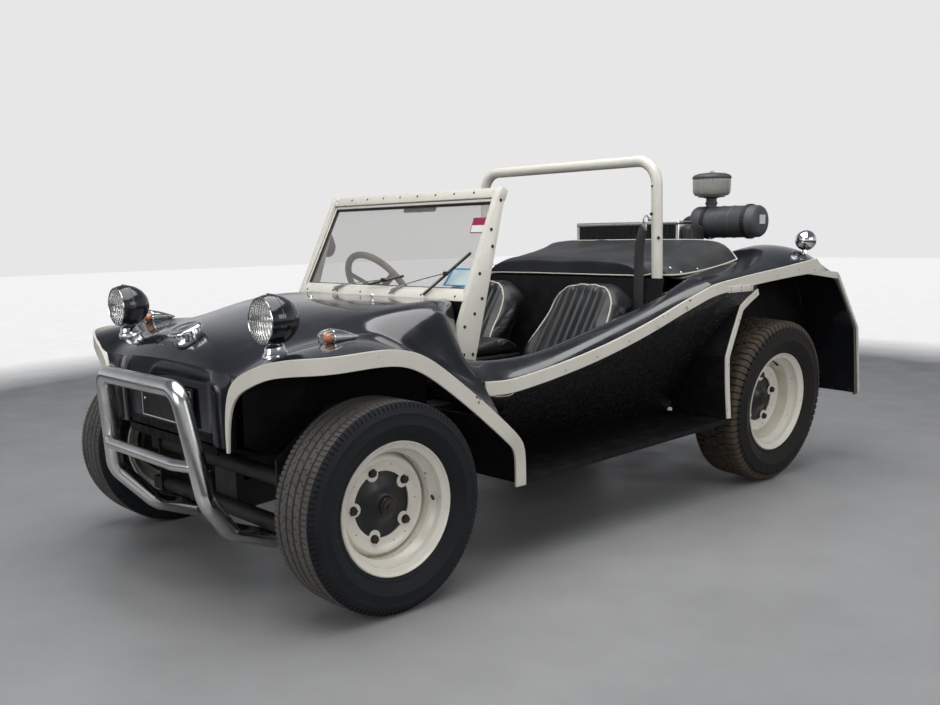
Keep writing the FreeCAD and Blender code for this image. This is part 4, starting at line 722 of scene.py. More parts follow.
# ---------------------------------------------------------------- body skins
# The front skin, from the middle of the car outwards along each row; rows run from the front
# edge back to the screen. The eighth column is the crease between cowl and fender.
FRONT_SKIN = (
    ((0, -306, 702), (150, -305, 699), (280, -302, 692), (370, -297, 686), (425, -299, 686), (455, -303, 689),
     (480, -306, 695), (500, -306, 704), (560, -294, 728), (620, -277, 742), (682, -247, 749), (727, -196, 750)),
    ((0, -278, 742), (150, -278, 738), (280, -275, 727), (370, -268, 714), (430, -264, 711), (458, -262, 716),
     (482, -261, 724), (502, -259, 735), (562, -254, 748), (622, -243, 753), (687, -218, 754), (737, -166, 752)),
    ((0, -200, 781), (150, -200, 777), (280, -200, 766), (370, -200, 750), (430, -198, 745), (458, -196, 746),
     (482, -194, 748), (507, -192, 751), (564, -188, 761), (624, -178, 765), (687, -158, 762), (742, -122, 755)),
    ((0, -90, 806), (150, -90, 802), (280, -90, 790), (370, -90, 774), (435, -90, 764), (468, -90, 764),
     (500, -91, 766), (526, -91, 769), (577, -90, 777), (632, -85, 778), (690, -78, 770), (742, -66, 757)),
    ((0, 0, 825), (150, 0, 821), (280, 0, 811), (370, 0, 795), (430, 0, 783), (462, 0, 780),
     (492, 0, 779), (518, 0, 778), (571, 0, 781), (629, 0, 779), (688, 0, 771), (742, 0, 757)),
    ((0, 90, 843), (150, 90, 839), (280, 90, 830), (370, 90, 818), (425, 90, 808), (458, 90, 800),
     (487, 90, 792), (509, 90, 785), (566, 88, 780), (625, 84, 770), (686, 78, 757), (742, 70, 747)),
    ((0, 170, 851), (150, 170, 849), (280, 170, 843), (370, 168, 835), (422, 165, 828), (457, 162, 817),
     (490, 158, 800), (514, 154, 775), (570, 150, 757), (628, 145, 745), (688, 138, 733), (742, 130, 724)),
    ((0, 250, 854), (150, 250, 853), (280, 250, 850), (370, 248, 845), (425, 241, 844), (472, 226, 828),
     (522, 207, 789), (563, 190, 741), (604, 189, 721), (648, 189, 705), (697, 190, 693), (742, 193, 683)),
    ((0, 330, 854), (150, 330, 854), (280, 328, 853), (370, 322, 850), (434, 311, 853), (492, 292, 836),
     (548, 272, 776), (584, 256, 700), (620, 255, 678), (657, 254, 661), (701, 254, 648), (742, 255, 639)),
    ((0, 395, 854), (150, 395, 854), (280, 393, 854), (370, 388, 853), (440, 380, 861), (506, 366, 842),
     (556, 350, 764), (583, 334, 662), (618, 336, 636), (656, 338, 612), (700, 340, 592), (742, 343, 572)),
    ((0, 450, 854), (150, 450, 854), (280, 448, 854), (370, 444, 855), (448, 438, 864), (512, 415, 826),
     (574, 400, 726), (640, 388, 622), (669, 388, 603), (693, 390, 582), (717, 392, 558), (742, 393, 531)),
    ((0, 505, 856), (150, 505, 856), (280, 505, 856), (370, 505, 857), (446, 504, 861), (500, 452, 770),
     (574, 432, 664), (650, 430, 614), (672, 430, 590), (695, 430, 562), (718, 430, 532), (742, 430, 500)),
)
CREASE = 7

# The nose, round its front from the middle to the side; rows run upwards.
NOSE_SKIN = (
    ((0, -302, 498), (150, -302, 498), (280, -302, 498), (292, -312, 474), (300, -315, 470), (338, -312, 470),
     (372, -294, 470), (382, -284, 470), (398, -312, 468)),
    ((0, -303, 545), (150, -303, 545), (281, -303, 545), (293, -314, 545), (301, -317, 545), (340, -313, 545),
     (374, -296, 545), (384, -285, 545), (400, -313, 545)),
    ((0, -304, 630), (150, -304, 630), (281, -304, 628), (293, -315, 628), (301, -317, 628), (342, -313, 630),
     (376, -297, 630), (388, -286, 632), (414, -313, 634)),
    ((0, -306, 670), (150, -306, 668), (281, -306, 664), (294, -312, 662), (303, -314, 662), (343, -310, 660),
     (378, -296, 660), (398, -290, 664), (432, -312, 668)),
    ((0, -306, 704), (150, -305, 701), (278, -302, 694), (294, -302, 692), (304, -301, 692), (342, -297, 687),
     (380, -292, 684), (412, -292, 685), (456, -306, 689)),
)

# The side rail from the cowl back to the rear deck: y, then x and z across it from inside the cockpit.
RAIL_FOOT = ((496, 432, 668), (500, 431, 692), (536, 431, 682), (596, 431, 652), (650, 431, 618), (655, 431, 570))
RAIL_RUN = (
    (490, (512, 516, 548, 602, 652, 655), (640, 668, 664, 640, 609, 564)),
    (550, (526, 530, 560, 608, 653, 655), (630, 656, 654, 634, 604, 558)),
    (750, (546, 549, 576, 616, 655, 657), (628, 657, 660, 652, 629, 582)),
    (1000, (548, 551, 578, 620, 658, 660), (682, 709, 713, 702, 673, 625)),
    (1270, (548, 551, 580, 624, 662, 664), (738, 766, 777, 770, 742, 693)),
    (1420, (548, 552, 582, 628, 668, 671), (770, 800, 822, 822, 795, 745)),
    (1520, (546, 552, 586, 640, 682, 685), (800, 838, 858, 852, 828, 780)),
    (1600, (544, 552, 590, 650, 697, 700), (830, 870, 884, 878, 861, 813)),
)
RAIL_SKIN = [RAIL_FOOT]
RAIL_SKIN += [[(x, y, z) for x, z in zip(across, heights)] for y, across, heights in RAIL_RUN]

# The rear deck and mudguard: lines from the engine's side out to the band, level with the car at
# first (y, then heights), then bent over the wheel (y of each point, then heights).
DECK_ACROSS = (438, 440, 495, 555, 620, 670, 697, 700)
DECK_RUN = (
    (1600, (850, 884, 884, 882, 878, 872, 861, 814)),
    (1720, (868, 905, 903, 899, 893, 884, 872, 826)),
    (1850, (892, 927, 926, 920, 908, 898, 886, 840)),
    (2090, (934, 969, 968, 960, 942, 922, 906, 860)),
    (2240, (954, 990, 989, 980, 960, 938, 922, 876)),
    (2380, (966, 1001, 999, 990, 970, 948, 933, 888)),
)
DECK_FALL = (
    ((2492, 2500, 2498, 2490, 2476, 2460, 2446, 2442),
     (950, 983, 980, 970, 948, 914, 884, 860)),
    ((2610, 2640, 2638, 2628, 2606, 2586, 2572, 2560),
     (864, 881, 880, 876, 870, 865, 862, 836)),
    ((2690, 2716, 2714, 2708, 2698, 2688, 2680, 2662),
     (740, 750, 748, 744, 737, 730, 726, 712)),
    ((2738, 2770, 2771, 2772, 2773, 2774, 2774, 2745),
     (610, 616, 614, 612, 610, 609, 608, 600)),
    ((2768, 2800, 2804, 2808, 2811, 2812, 2812, 2775),
     (298, 300, 299, 298, 296, 293, 290, 288)),
)
DECK_LINES = [[(x, y, z) for x, z in zip(DECK_ACROSS, heights)] for y, heights in DECK_RUN]
DECK_LINES += [list(zip(DECK_ACROSS, along, heights)) for along, heights in DECK_FALL]


UP, AHEAD, OUT = (0, 0, 1), (0, -1, 0), (1, 0, 0)
SKINS = (  # rows, whether they start in the middle of the car, creases, way they face, wall, name, node
    (FRONT_SKIN, True, ((None, CREASE, 0.55),), UP, 5, "front_skin_moulding", ("front_skin",)),
    (NOSE_SKIN, True, ((None, 2, 0.9), (None, 3, 0.6)), AHEAD, 4, "nose_moulding", ()),
    (RAIL_SKIN, False, ((None, 4, 0.6),), UP, 5, "side_rail_mouldings", ("side_rails",)),
    (DECK_LINES, False, ((None, 6, 0.6), (None, 1, 0.5), (6, None, 0.3), (7, None, 0.7), (9, None, 0.8)), UP, 5,
     "rear_fender_mouldings", ("rear_fenders",)),
)
for rows, whole, creases, way, wall, name, node in SKINS:
    skin = shell_of(skin_of(rows, mirror=whole, sharp=creases), way, wall)
    set_down(skin if whole else pair(skin), name, GLOSS_BLACK, 40, node)


# ---------------------------------------------------------------- cream bands
def strip(upper, lower, out, knees=()):
    """A flat band between two lines, laid 8 mm proud of what it edges."""
    middle = [tuple((a + b) / 2 for a, b in zip(u, l)) for u, l in zip(upper, lower)]
    rows = [[u, m, l] for u, m, l in zip(upper, middle, lower)]
    piece = shell_of(skin_of(rows, 3, sharp=[(row, None, 0.8) for row in knees]), out, 8, 1)
    return modify(piece, "BEVEL", width=0.002, segments=2, limit_method="ANGLE", angle_limit=math.radians(50))


ARCH_X = 742.3                # outer face of the front fender's edge


def cream_bands():
    """Five bands and a patch: over the front wheel, along the side and deck, a lap, down the
    tail and on the mudguard's front, then their rivets."""
    upper = [(392, -317, 466), (390, -317, 515), (393, -317, 560), (402, -317, 612), (424, -317, 660),
             (462, -312, 691), (500, -308, 707), (560, -297, 731), (620, -279, 745), (676, -253, 752),
             (712, -224, 754), (735, -186, 756), (ARCH_X, -140, 758), (ARCH_X, -66, 761), (ARCH_X, 0, 761),
             (ARCH_X, 70, 751), (ARCH_X, 130, 728), (ARCH_X, 193, 687), (ARCH_X, 255, 641), (ARCH_X, 343, 574),
             (ARCH_X, 430, 502), (734, 500, 446), (718.3, 544, 408), (708, 560, 350), (702.3, 566, 266)]
    lower = [(402, -317, 466), (407, -317, 515), (415, -317, 556), (430, -317, 596), (453, -316, 628),
             (482, -312, 650), (513, -307, 664), (565, -296, 687), (620, -279, 700), (676, -253, 706),
             (712, -224, 708), (735, -186, 710), (ARCH_X, -140, 712), (ARCH_X, -66, 715), (ARCH_X, 0, 714),
             (ARCH_X, 56, 706), (ARCH_X, 110, 684), (ARCH_X, 165, 650), (ARCH_X, 226, 606), (ARCH_X, 312, 541),
             (ARCH_X, 398, 470), (734, 462, 420), (718.3, 500, 394), (708, 516, 345), (702.3, 521, 266)]
    front = strip(upper, lower, (1, -1, 0))
    upper = [(x + 0.3, y, z) for x, y, z in ((655, 440, 611), (655, 490, 608), (655, 550, 604), (657, 750, 629),
             (660, 1000, 673), (664, 1270, 742), (672, 1420, 795), (686, 1520, 829), (700, 1600, 861),
             (700, 1720, 873), (700, 1850, 887), (700, 2090, 907), (700, 2240, 923), (700, 2330, 932),
             (700, 2368, 936))]
    drops = ((0, -45),) * 11 + ((0, -47), (10, -54), (50, -57), (78, -56))
    lower = [(x, y + dy, z + dz) for (x, y, z), (dy, dz) in zip(upper, drops)]
    side = strip(upper, lower, OUT)
    upper = [(699, 2290, 882), (699, 2400, 884), (699, 2480, 878), (699, 2562, 869)]
    lower = [(699, 2292, 872), (699, 2400, 861), (699, 2480, 850), (699, 2576, 839)]
    lap = strip(upper, lower, OUT)
    upper = [(699, y, z) for y, z in ((2570, 863), (2622, 800), (2680, 726), (2728, 665), (2774, 607), (2790, 490),
                                      (2802, 390), (2812, 291))]
    lower = [(699, y - dy, z - dz) for (_, y, z), (dy, dz) in zip(upper, ((12, 8), (11, 8), (11, 8), (10, 7), (10, 3),
                                                                          (8, 0), (7, 0), (6, 0)))]
    tail = strip(upper, lower, OUT, knees=(4,))
    upper = [(700.3, y, z) for y, z in ((1715, 321), (1704, 410), (1697, 500), (1695, 570), (1716, 618),
                                        (1754, 696), (1792, 769), (1850, 802), (1911, 828))]
    turns = ((24, 0), (24, 0), (24, 0), (24, -5), (22, -10), (22, -11), (15, -21), (12, -24), (8, -24))
    lower = [(x, y + dy, z + dz) for (x, y, z), (dy, dz) in zip(upper, turns)]
    guard = strip(upper, lower, OUT, knees=(3, 6))
    patch = block((700, 1698, 822), (709.5, 1872, 850), 1.0)
    bands = joined([front, side, lap, tail, guard, patch])
    set_down(pair(bands), "cream_edge_bands", CREAM_BAND, 40, ("edge_bands",))
    rivets = [(710, y, z) for y in (1712, 1785, 1858) for z in (829, 843)]
    rivets += [(672, 800, 612), (673, 960, 642), (677, 1130, 682), (680, 1290, 722), (692, 1450, 778),
               (708.4, 2050, 876), (708.4, 2220, 894), (708.4, 2352, 887), (708.4, 2412, 889)]
    rivets += [(708.4, 1709, 360), (708.4, 1709, 540), (708.4, 1775, 712), (708.4, 1888, 808)]
    set_down(pair(studs(rivets, OUT, 4.2, 2.4)), "band_rivets", BRIGHT_STEEL)


cream_bands()


# ---------------------------------------------------------------- wheels
# middle plane across, y and z of the axle, lean in degrees
WHEEL_AT = {"front": (682.6, 0, 308.5, 0.0), "rear": (611.0, 2095, 347.9, 4.0)}
BOLT_R = 102.5
HOLE_R = 119.5


def wheel_place(side, plane, y, z, lean):
    """Matrix that stands a wheel drawn about the z axis, outer face up, on its side of the car."""
    lean = math.radians(lean)
    out = Vector((math.cos(lean), 0, -math.sin(lean)))
    rear = Vector((0, 1, 0))
    down = rear.cross(out)
    place = Matrix((down, rear, out)).transposed().to_4x4()
    place.translation = at(plane, y, z)
    return place if side == "left" else MIRROR_X @ place


def each_wheel(piece, end, name, finish=None, angle=35, replaces=None):
    """Put a left and a right copy of a wheel piece on the car, and throw the pattern away."""
    plane, y, z, lean = WHEEL_AT[end]
    for side in ("left", "right"):
        copy = copy_of(piece, wheel_place(side, plane, y, z, lean))
        copy.data.name = name
        node = (f"{end}_{replaces}_{side}",) if replaces else ()
        set_down(copy, f"{end}_{name}_{side}", finish, angle, node, f"{end}_{side}_wheel")
    bpy.data.objects.remove(piece)


def sunk(piece, wanted, inset, depth):
    """Press the wanted faces in, as one region, with slightly sloping walls."""
    pick(piece, "faces", wanted)
    bpy.ops.mesh.inset(thickness=inset * MM, depth=-depth * MM, use_even_offset=True)
    drop_all()
    return piece


def ring_and_step(face, steps):
    """Radius, height and step number round the axis of a face of a wheel piece."""
    middle = face.calc_center_median()
    angle = math.atan2(middle.y, middle.x) % (2 * math.pi)
    return math.hypot(middle.x, middle.y) * 1000, middle.z * 1000, int(angle / (2 * math.pi) * steps)


def both_halves(profile):
    """A profile and its mirror image across the wheel's middle."""
    return profile + [(radius, -height) for radius, height in reversed(profile)]


def tread_faces(piece, finish, least):
    """The worn, dusty faces of a tread take their own finish."""
    return wear(piece, finish, lambda f: math.hypot(f.center.x, f.center.y) * 1000 > least)


def front_tyre():
    """Road tyre: four grooves between five siped ribs, slots over the shoulder, rings on the wall."""
    steps = 360
    half = [(178, 69), (191, 71), (197, 78), (204, 83), (206, 84.8), (208, 83.6), (225, 95), (240, 99.5),
            (243, 100.8), (246, 99.8), (262, 99.0), (273, 96.5), (275, 97.3), (277, 95.8), (290, 90), (300, 84.5),
            (305.5, 78)]
    crown = [(307.6, 66), (307.6, 56), (307.8, 55.4), (300.5, 54.2), (300.5, 47.4), (307.9, 46.2), (308.2, 36),
             (308.2, 28), (308.2, 20.2), (300.5, 19), (300.5, 12.2), (308.4, 11), (308.5, 4)]
    tyre = lathe(both_halves(half + crown), steps)

    def slot(face):
        radius, height, step = ring_and_step(face, steps)
        return radius > 291 and 57 < abs(height) < 90 and step % 3 == 0

    def sipe(face):
        radius, height, step = ring_and_step(face, steps)
        if radius < 307 or abs(face.normal.z) > 0.4:
            return False
        slant = int(height // 8)
        if 20 < abs(height) < 46:
            return (step + 2 * slant) % 6 == 0
        return abs(height) < 11 and (step - slant) % 6 == 3

    sunk(tyre, slot, 1.0, 3.0)
    sunk(tyre, sipe, 1.4, 3.0)
    wear(tyre, ROAD_RUBBER)
    tread_faces(tyre, ROAD_TREAD, 303.0)
    each_wheel(tyre, "front", "road_tyre", None, 38, "tyre")


def rear_tyre():
    """Block-tread tyre: staggered blocks on the crown, long slots over the shoulders."""
    steps = 304
    half = [(191, 81), (204, 83), (210, 90), (216, 93), (219, 94.8), (222, 93.4), (240, 106), (262, 111.5),
            (265, 113.2), (268, 111.8), (286, 110), (300, 106.5), (302, 107.5), (304, 105.5), (318, 101),
            (333, 97), (340, 90)]
    crown = [(342.4, 79), (343, 66), (343, 56), (343, 46), (343, 34), (343, 22), (343, 8)]
    tyre = lathe(both_halves(half + crown), steps)

    def groove(face):
        radius, height, step = ring_and_step(face, steps)
        high = abs(height)
        step += 0 if height > 0 else 2
        if radius < 306:
            return False
        if high > 56:
            return step % 4 == 0
        if high > 46:
            return step % 8 not in (6, 7)
        if high > 22:
            return (step + int(high // 12)) % 8 == 4
        if high > 8:
            return step % 8 not in (1, 2)
        return high < 8 and (step + 3) % 8 == 0

    def sipe(face):
        radius, height, step = ring_and_step(face, steps)
        return radius > 341 and 22 < abs(height) < 46 and step % 8 in (0, 6) and abs(face.normal.z) < 0.2

    sunk(tyre, groove, 1.0, 7.0)
    sunk(tyre, sipe, 2.4, 3.0)
    wear(tyre, TRACK_RUBBER)
    tread_faces(tyre, TRACK_TREAD, 318.0)
    each_wheel(tyre, "rear", "track_tyre", None, 38, "tyre")


def out_at(turn, radius, height=0.0):
    """Moves a piece out to a radius, at a turn in radians about the wheel's axis."""
    return Matrix.Translation(Vector((math.cos(turn) * radius, math.sin(turn) * radius, height)) * MM)


def bolt_turns(turn):
    """The turns of the five bolts and their tabs, in radians."""
    return [2 * math.pi * (i + 0.5) / 5 + math.radians(turn) for i in range(5)]


def wheel_disc(face, seat_edge, turn):
    """Disc of a steel wheel: hat ring, wide round opening and five tabs that carry the bolts."""
    profile = [(98, face - 4.5), (98, face), (103, face + 0.8), (112, face + 1.4), (121, face + 3), (128, face + 7),
               (133, face + 9.6), (139, face + 9.8), (144, face + 6), (148, face - 2), (152, face - 9),
               (seat_edge, face - 15), (seat_edge, face - 19), (148, face - 14), (140, face + 4), (133, face + 5),
               (124, face), (112, face - 4)]
    parts = [lathe(profile, 120, closed=True)]
    for angle in bolt_turns(turn):
        for reach in (BOLT_R - 7, BOLT_R - 1):
            tab = lathe([(0, face - 4.4), (19.6, face - 4.4), (20.4, face - 3.4), (20.4, face - 0.8),
                         (19.2, face + 0.35), (0, face + 0.4)], 32)
            tab.data.transform(out_at(angle, reach))
            parts.append(tab)
    return joined(parts)


def wheel_rim(end, rim_r, seat_r, half, dish, turn):
    """Pressed steel rim with rolled edges, a stepped well and its disc."""
    face = half + 12 - dish
    well = seat_r - 18
    outer = [(rim_r - 3, half + 11.2), (rim_r, half + 9), (rim_r + 0.5, half + 6), (rim_r - 1, half + 3),
             (rim_r - 6, half + 1), (seat_r, half), (seat_r, half - 20), (seat_r - 3, half - 24), (well, half - 40)]
    inner = [(well - 4, half - 42), (seat_r - 7, half - 25), (seat_r - 5, half - 19), (seat_r - 5, half - 4),
             (rim_r - 13, half + 2), (rim_r - 7, half + 6), (rim_r - 5, half + 10)]
    profile = both_halves(outer) + [(r, -h) for r, h in reversed(inner)] + inner
    whole = joined([lathe(profile, 120, closed=True), wheel_disc(face, well - 4, turn)])
    each_wheel(whole, end, "steel_rim", CREAM_WHEEL, 32, "rim")

    parts, holes = [], []
    for i, angle in enumerate(bolt_turns(turn)):
        head = lathe([(0, face - 1), (12.2, face - 1), (12.2, face + 9), (10.4, face + 11.0), (0, face + 11.0)], 6)
        head.data.transform(out_at(angle, BOLT_R) @ Matrix.Rotation(i * 0.7, 4, "Z"))
        collar = lathe([(0, face - 1), (14.2, face - 1), (13.6, face + 1.4), (0, face + 1.8)], 24)
        collar.data.transform(out_at(angle, BOLT_R))
        parts += [head, collar]
        # Painted shade: each hole is only a thin black disc laid on the disc face, standing for the dark inside of
        # the hole.
        hole = lathe([(0, face + 1.9), (1.9, face + 1.9), (1.9, face + 3.1), (0, face + 3.2)], 10)
        hole.data.transform(out_at(angle + math.pi / 5, HOLE_R))
        holes.append(hole)
    each_wheel(joined(parts), end, "wheel_bolts", BOLT_STEEL, 30)
    each_wheel(joined(holes), end, "disc_hole_shades", BLACK_PLASTIC, 30)
    groove = lathe([(well - 3.4, face - 14.6), (well - 1.2, face - 14.6), (well - 1.2, face - 12.0),
                    (well - 3.4, face - 12.4)], 120, closed=True)
    each_wheel(groove, end, "disc_seam", BLACK_PLASTIC, 30)

    stem = lathe([(0, 0), (4.2, 0), (4.2, 4), (3.2, 6), (3.2, 16), (4.4, 17), (4.4, 30), (3.4, 33), (0, 33)], 20)
    angle = math.radians(90 if end == "front" else 180)
    tilt = Matrix.Rotation(math.radians(-32), 4, Vector((-math.sin(angle), math.cos(angle), 0)))
    stem.data.transform(out_at(angle, well - 1, half - 33) @ tilt)
    each_wheel(stem, end, "valve_stem", BLACK_RUBBER, 35)


def drum_face(end, half, dish):
    """Brake drum seen through the opening, with its cone, hub and cap."""
    face = half + 12 - dish - 5.3
    cap = 34 if end == "front" else 28
    profile = [(0, face - 20), (34, face - 20), (34, face - 52), (122, face - 52), (128, face - 44), (128, face - 12),
               (110, face), (80, face), (76, face + 2.0), (62, face + 6), (48, face + 12), (38, face + 20),
               (32, face + 23), (29, face + 23.5), (28, face + 25), (27, face + cap), (24, face + cap + 3),
               (12, face + cap + 4), (11, face + cap + 9), (0, face + cap + 10)]
    drum = lathe(profile, 72)
    each_wheel(drum, end, "brake_drum", DRUM_BLACK, 32, "drum")
    tip = lathe([(0, face + cap - 4), (20, face + cap - 4), (20, face + cap + 6), (17, face + cap + 8),
                 (8, face + cap + 9), (8, face + cap + 14), (0, face + cap + 15)], 6 if end == "rear" else 24)
    each_wheel(tip, end, "hub_nut", RUSTY_STEEL, 30)


front_tyre()
rear_tyre()
wheel_rim("front", 195.3, 177.8, 70.0, 78.6, 18.0)
wheel_rim("rear", 208.0, 190.5, 82.5, 95.0, -3.5)
drum_face("front", 70.0, 78.6)
drum_face("rear", 82.5, 95.0)


# ---------------------------------------------------------------- nose, lamps, guards
BAY_WALL = ((-262, 476), (-262, 672), (-200, 728), (0, 772), (200, 826), (430, 846), (430, 560), (415, 330),
            (330, 300), (60, 430), (-200, 440))
BAY_FLOOR = ((-306, 474), (-200, 444), (60, 434), (330, 304), (415, 332), (415, 324), (328, 296), (57, 426),
             (-200, 436), (-306, 466))


def bay_and_plate():
    walls = pair(plate_of(BAY_WALL, 380, 385, 1.0))
    floor = plate_of(BAY_FLOOR, -384, 384, 1.0)
    stiffener = plate_of(((-306, 440), (-306, 500), (-298, 500), (-298, 440)), -300, 300, 1.0)
    set_down(joined([walls, floor, stiffener]), "front_bay_walls", UNDERSIDE_BLACK, 30, ("nose_bay",))
    plate = block((-180, -316, 502), (180, -309, 627), 4.0, 3)
    pick(plate, "faces", lambda f: f.normal.y < -0.99)
    bpy.ops.mesh.inset(thickness=0.004)
    bpy.ops.mesh.inset(thickness=0.0035)
    drop_all()
    wear(plate, PLATE_BLACK)
    wear(plate, PLATE_WHITE, lambda f: f.normal.y < -0.99 and f.area < 0.0025 and 171 < max(
        abs(plate.data.vertices[v].co.x) for v in f.vertices) * 1000 < 174)
    set_down(plate, "front_number_plate", None, 30)
    screws = studs([(x, -316, 565) for x in (-150, 150)], AHEAD, 5, 3)
    set_down(screws, "number_plate_screws", CHROME)


def turned_pairs(place, way, *parts):
    """Turned pieces about one place and axis, each with its mirror image across the car:
    a profile or a list of them, steps, name, finish, shading angle and, for some, the node."""
    for profiles, steps, name, finish, angle, *node in parts:
        profiles = profiles if isinstance(profiles, list) else [profiles]
        pieces = [stood(lathe(profile, steps), place, way) for profile in profiles]
        set_down(pair(joined(pieces)), name, finish, angle, tuple(node))


def thin_glass(profile, steps, wall, place, way, name, finish, angle, node=()):
    """A turned glass with a wall in metres, and its mirror image across the car."""
    glass = modify(lathe(profile, steps), "SOLIDIFY", thickness=wall, offset=-1)
    set_down(pair(stood(glass, place, way)), name, finish, angle, node)


LAMP = (486, -214, 843)


def beside_lamp(across, along, up):
    return (LAMP[0] + across, LAMP[1] + along, LAMP[2] + up)


def headlamps():
    """Black ball with a seam round its middle, thin rim, fluted lens over a bowl, oval bright foot."""
    ball = lathe([(0, -81), (18, -79), (37, -70), (54, -54.5), (66, -34), (71.5, -14), (72.6, -5), (73.6, -4),
                  (73.6, 1), (72.6, 2), (72, 12), (70, 22), (67.5, 30), (66.6, 33.5), (64.5, 33.8), (64.5, 28)], 72)
    bolt = studs([beside_lamp(0, -6, 71)], UP, 5, 5)
    neck = stood(lathe([(24, 0), (21, 8), (20, 22), (30, 36), (30, 40)], 32), beside_lamp(0, 8, -92), UP)
    nut = stood(lathe([(9, 0), (9, 7), (0, 8)], 6), beside_lamp(-34, 4, -78), UP)
    set_down(pair(joined([stood(ball, LAMP, AHEAD), bolt, neck, nut])), "headlamp_shells", GLOSS_BLACK, 30,
             ("headlamps",))
    turned_pairs(LAMP, AHEAD, (((64.6, 30), (66.2, 33), (66.2, 36), (64.2, 37.2), (63, 36)), 72, "headlamp_bezels",
                               CHROME, 50, "headlamp_rims"))
    thin_glass([(0, 48), (16, 47.4), (32, 45.2), (48, 41.4), (58, 37.6), (63.6, 34.5)], 72, 0.003, LAMP, AHEAD,
               "headlamp_glasses", LAMP_GLASS, 50, ("headlamp_lenses",))
    bowl = lathe([(62.5, 33), (58, 22), (48, 6), (34, -8), (18, -16), (0, -18)], 64)
    bowl.data.flip_normals()
    bulb = stood(lathe([(7, -16), (7, 4), (5, 10), (0, 12)], 20), LAMP, AHEAD)
    cap = stood(lathe([(16, 10), (16, 14), (12, 19), (0, 21)], 32), LAMP, AHEAD)
    set_down(pair(joined([stood(bowl, LAMP, AHEAD), bulb, cap])), "headlamp_reflectors", REFLECTOR, 50)
    foot = lathe([(0, 30), (19, 30), (22, 28), (24, 24), (25, 16), (30, 8), (32, 2), (32, -12)], 48)
    foot.data.transform(Matrix.Diagonal((1.0, 1.3, 1.0, 1.0)))
    set_down(pair(stood(foot, beside_lamp(0, 10, -101), (0, -0.12, 1))), "headlamp_feet", CHROME, 40)


def indicators():
    """Teardrop lamps on the fenders: clear front over an amber bulb, bright tail."""
    place, way = (582, -62, 788), (0, -1, 0.03)
    turned_pairs(place, way,
                 (((0, -78), (3, -74), (9, -56), (17, -30), (23, -6), (26, 14), (27.5, 20), (27.5, 24), (25.5, 25),
                   (25.5, 20)), 40, "indicator_tails", CHROME, 45),
                 (((11, 14), (13, 24), (13, 34), (9, 42), (0, 45)), 24, "indicator_bulbs", AMBER_BULB, 45))
    thin_glass([(0, 62), (9, 60.5), (17, 55), (22.5, 46), (25.5, 34), (26.2, 24)], 40, 0.002, place, way,
               "indicator_glasses", CLEAR_LENS, 45)


def fuel_cap_pieces():
    """Bright screw cap with finger scallops and a ribbed top, on a plain neck."""
    way = (0, -0.36, 1)
    place = (0, -222, 752)
    neck = stood(lathe([(46, -14), (46, 24), (50, 26), (50, 30)], 48), place, way)
    steps = 144
    cap = lathe([(0, 49), (14, 49), (20, 47), (38, 47), (44, 49), (50, 48.5), (55, 45), (57, 41), (57, 27),
                 (54, 25)], steps)

    def flute(f):
        radius, height, step = ring_and_step(f, steps)
        return radius > 56 and step % 6 < 2 or 20 < radius < 38 and step % 12 < 4
    sunk(cap, flute, 0.2, 2.2)
    stood(cap, place, way)
    set_down(joined([neck, cap]), "filler_cap", CHROME, 35, ("fuel_cap",))


def guards():
    side = [(266, -398.5, 643), (320, -360, 315), (250, -255, 190), (250, -95, 130)]
    path = [(-x, y, z) for x, y, z in reversed(side)] + side
    hoop = tube(path, 70, 28.5, 12, 10)
    cross = tube([(-292, -386, 419), (-222, -408.5, 419), (222, -408.5, 419), (292, -386, 419)], 60, 18.5, 8, 8)
    ends = []
    for side_x in (-1, 1):
        end = lathe([(18.5, 0), (17, 7), (12, 13), (5, 16), (0, 16.6)], 32)
        ends.append(stood(end, (side_x * 292, -386, 419), (side_x * 0.952, 0.306, 0)))
    feet = [(214.6, 2285, 312), (260, 2803, 312), (260, 2803, 640)]
    rear = tube([(-x, y, z) for x, y, z in feet] + list(reversed(feet)), 60, 24, 12, 8)
    set_down(joined([hoop, cross, *ends, rear]), "guard_tubes", STAINLESS, 40, ("guard_bars",))


bay_and_plate()
headlamps()
indicators()
fuel_cap_pieces()
guards()


# ---------------------------------------------------------------- windscreen
RAKE = math.radians(26.5)
SCREEN_TALL = 413.0


def on_screen(x, height, depth):
    """A point of the screen: across, up its slope, and back from its front face."""
    return (x, 506 + height * math.sin(RAKE) + depth * math.cos(RAKE),
            852 + height * math.cos(RAKE) - depth * math.sin(RAKE))


def hull(front, back, round_edge=0.0):
    """A solid between two rings of four drawing points: a cube whose corners are moved to them."""
    drop_all()
    bpy.ops.mesh.primitive_cube_add(size=1)
    piece = bpy.context.object
    corners = {(-1, -1): 0, (1, -1): 1, (1, 1): 2, (-1, 1): 3}
    for vertex in piece.data.vertices:
        x, y, z = (1 if value > 0 else -1 for value in vertex.co)
        vertex.co = at(*(back if y > 0 else front)[corners[x, z]])
    return rounded(outwards(piece), round_edge)


def screen_slab(ring, depth0, depth1, round_edge=0.0):
    """A solid between two depths of the screen, over a ring of four (across, height) corners."""
    return hull([on_screen(x, h, depth0) for x, h in ring], [on_screen(x, h, depth1) for x, h in ring], round_edge)


def screen_ring(rail, stile):
    """The four corners of the screen, a rail's width in from its ends and a stile's from its sides."""
    low, high = rail, SCREEN_TALL - rail
    wide = [494 - 13 * h / SCREEN_TALL - stile for h in (low, high)]
    return [(-wide[0], low), (wide[0], low), (wide[1], high), (-wide[1], high)]


def screen_border(outer, inner, depth0, depth1, round_edge):
    """Four mitred bars between two rings of the screen."""
    bars = []
    for i in range(4):
        ring = [outer[i], outer[(i + 1) % 4], inner[(i + 1) % 4], inner[i]]
        bars.append(screen_slab(ring, depth0, depth1, round_edge))
    return joined(bars)


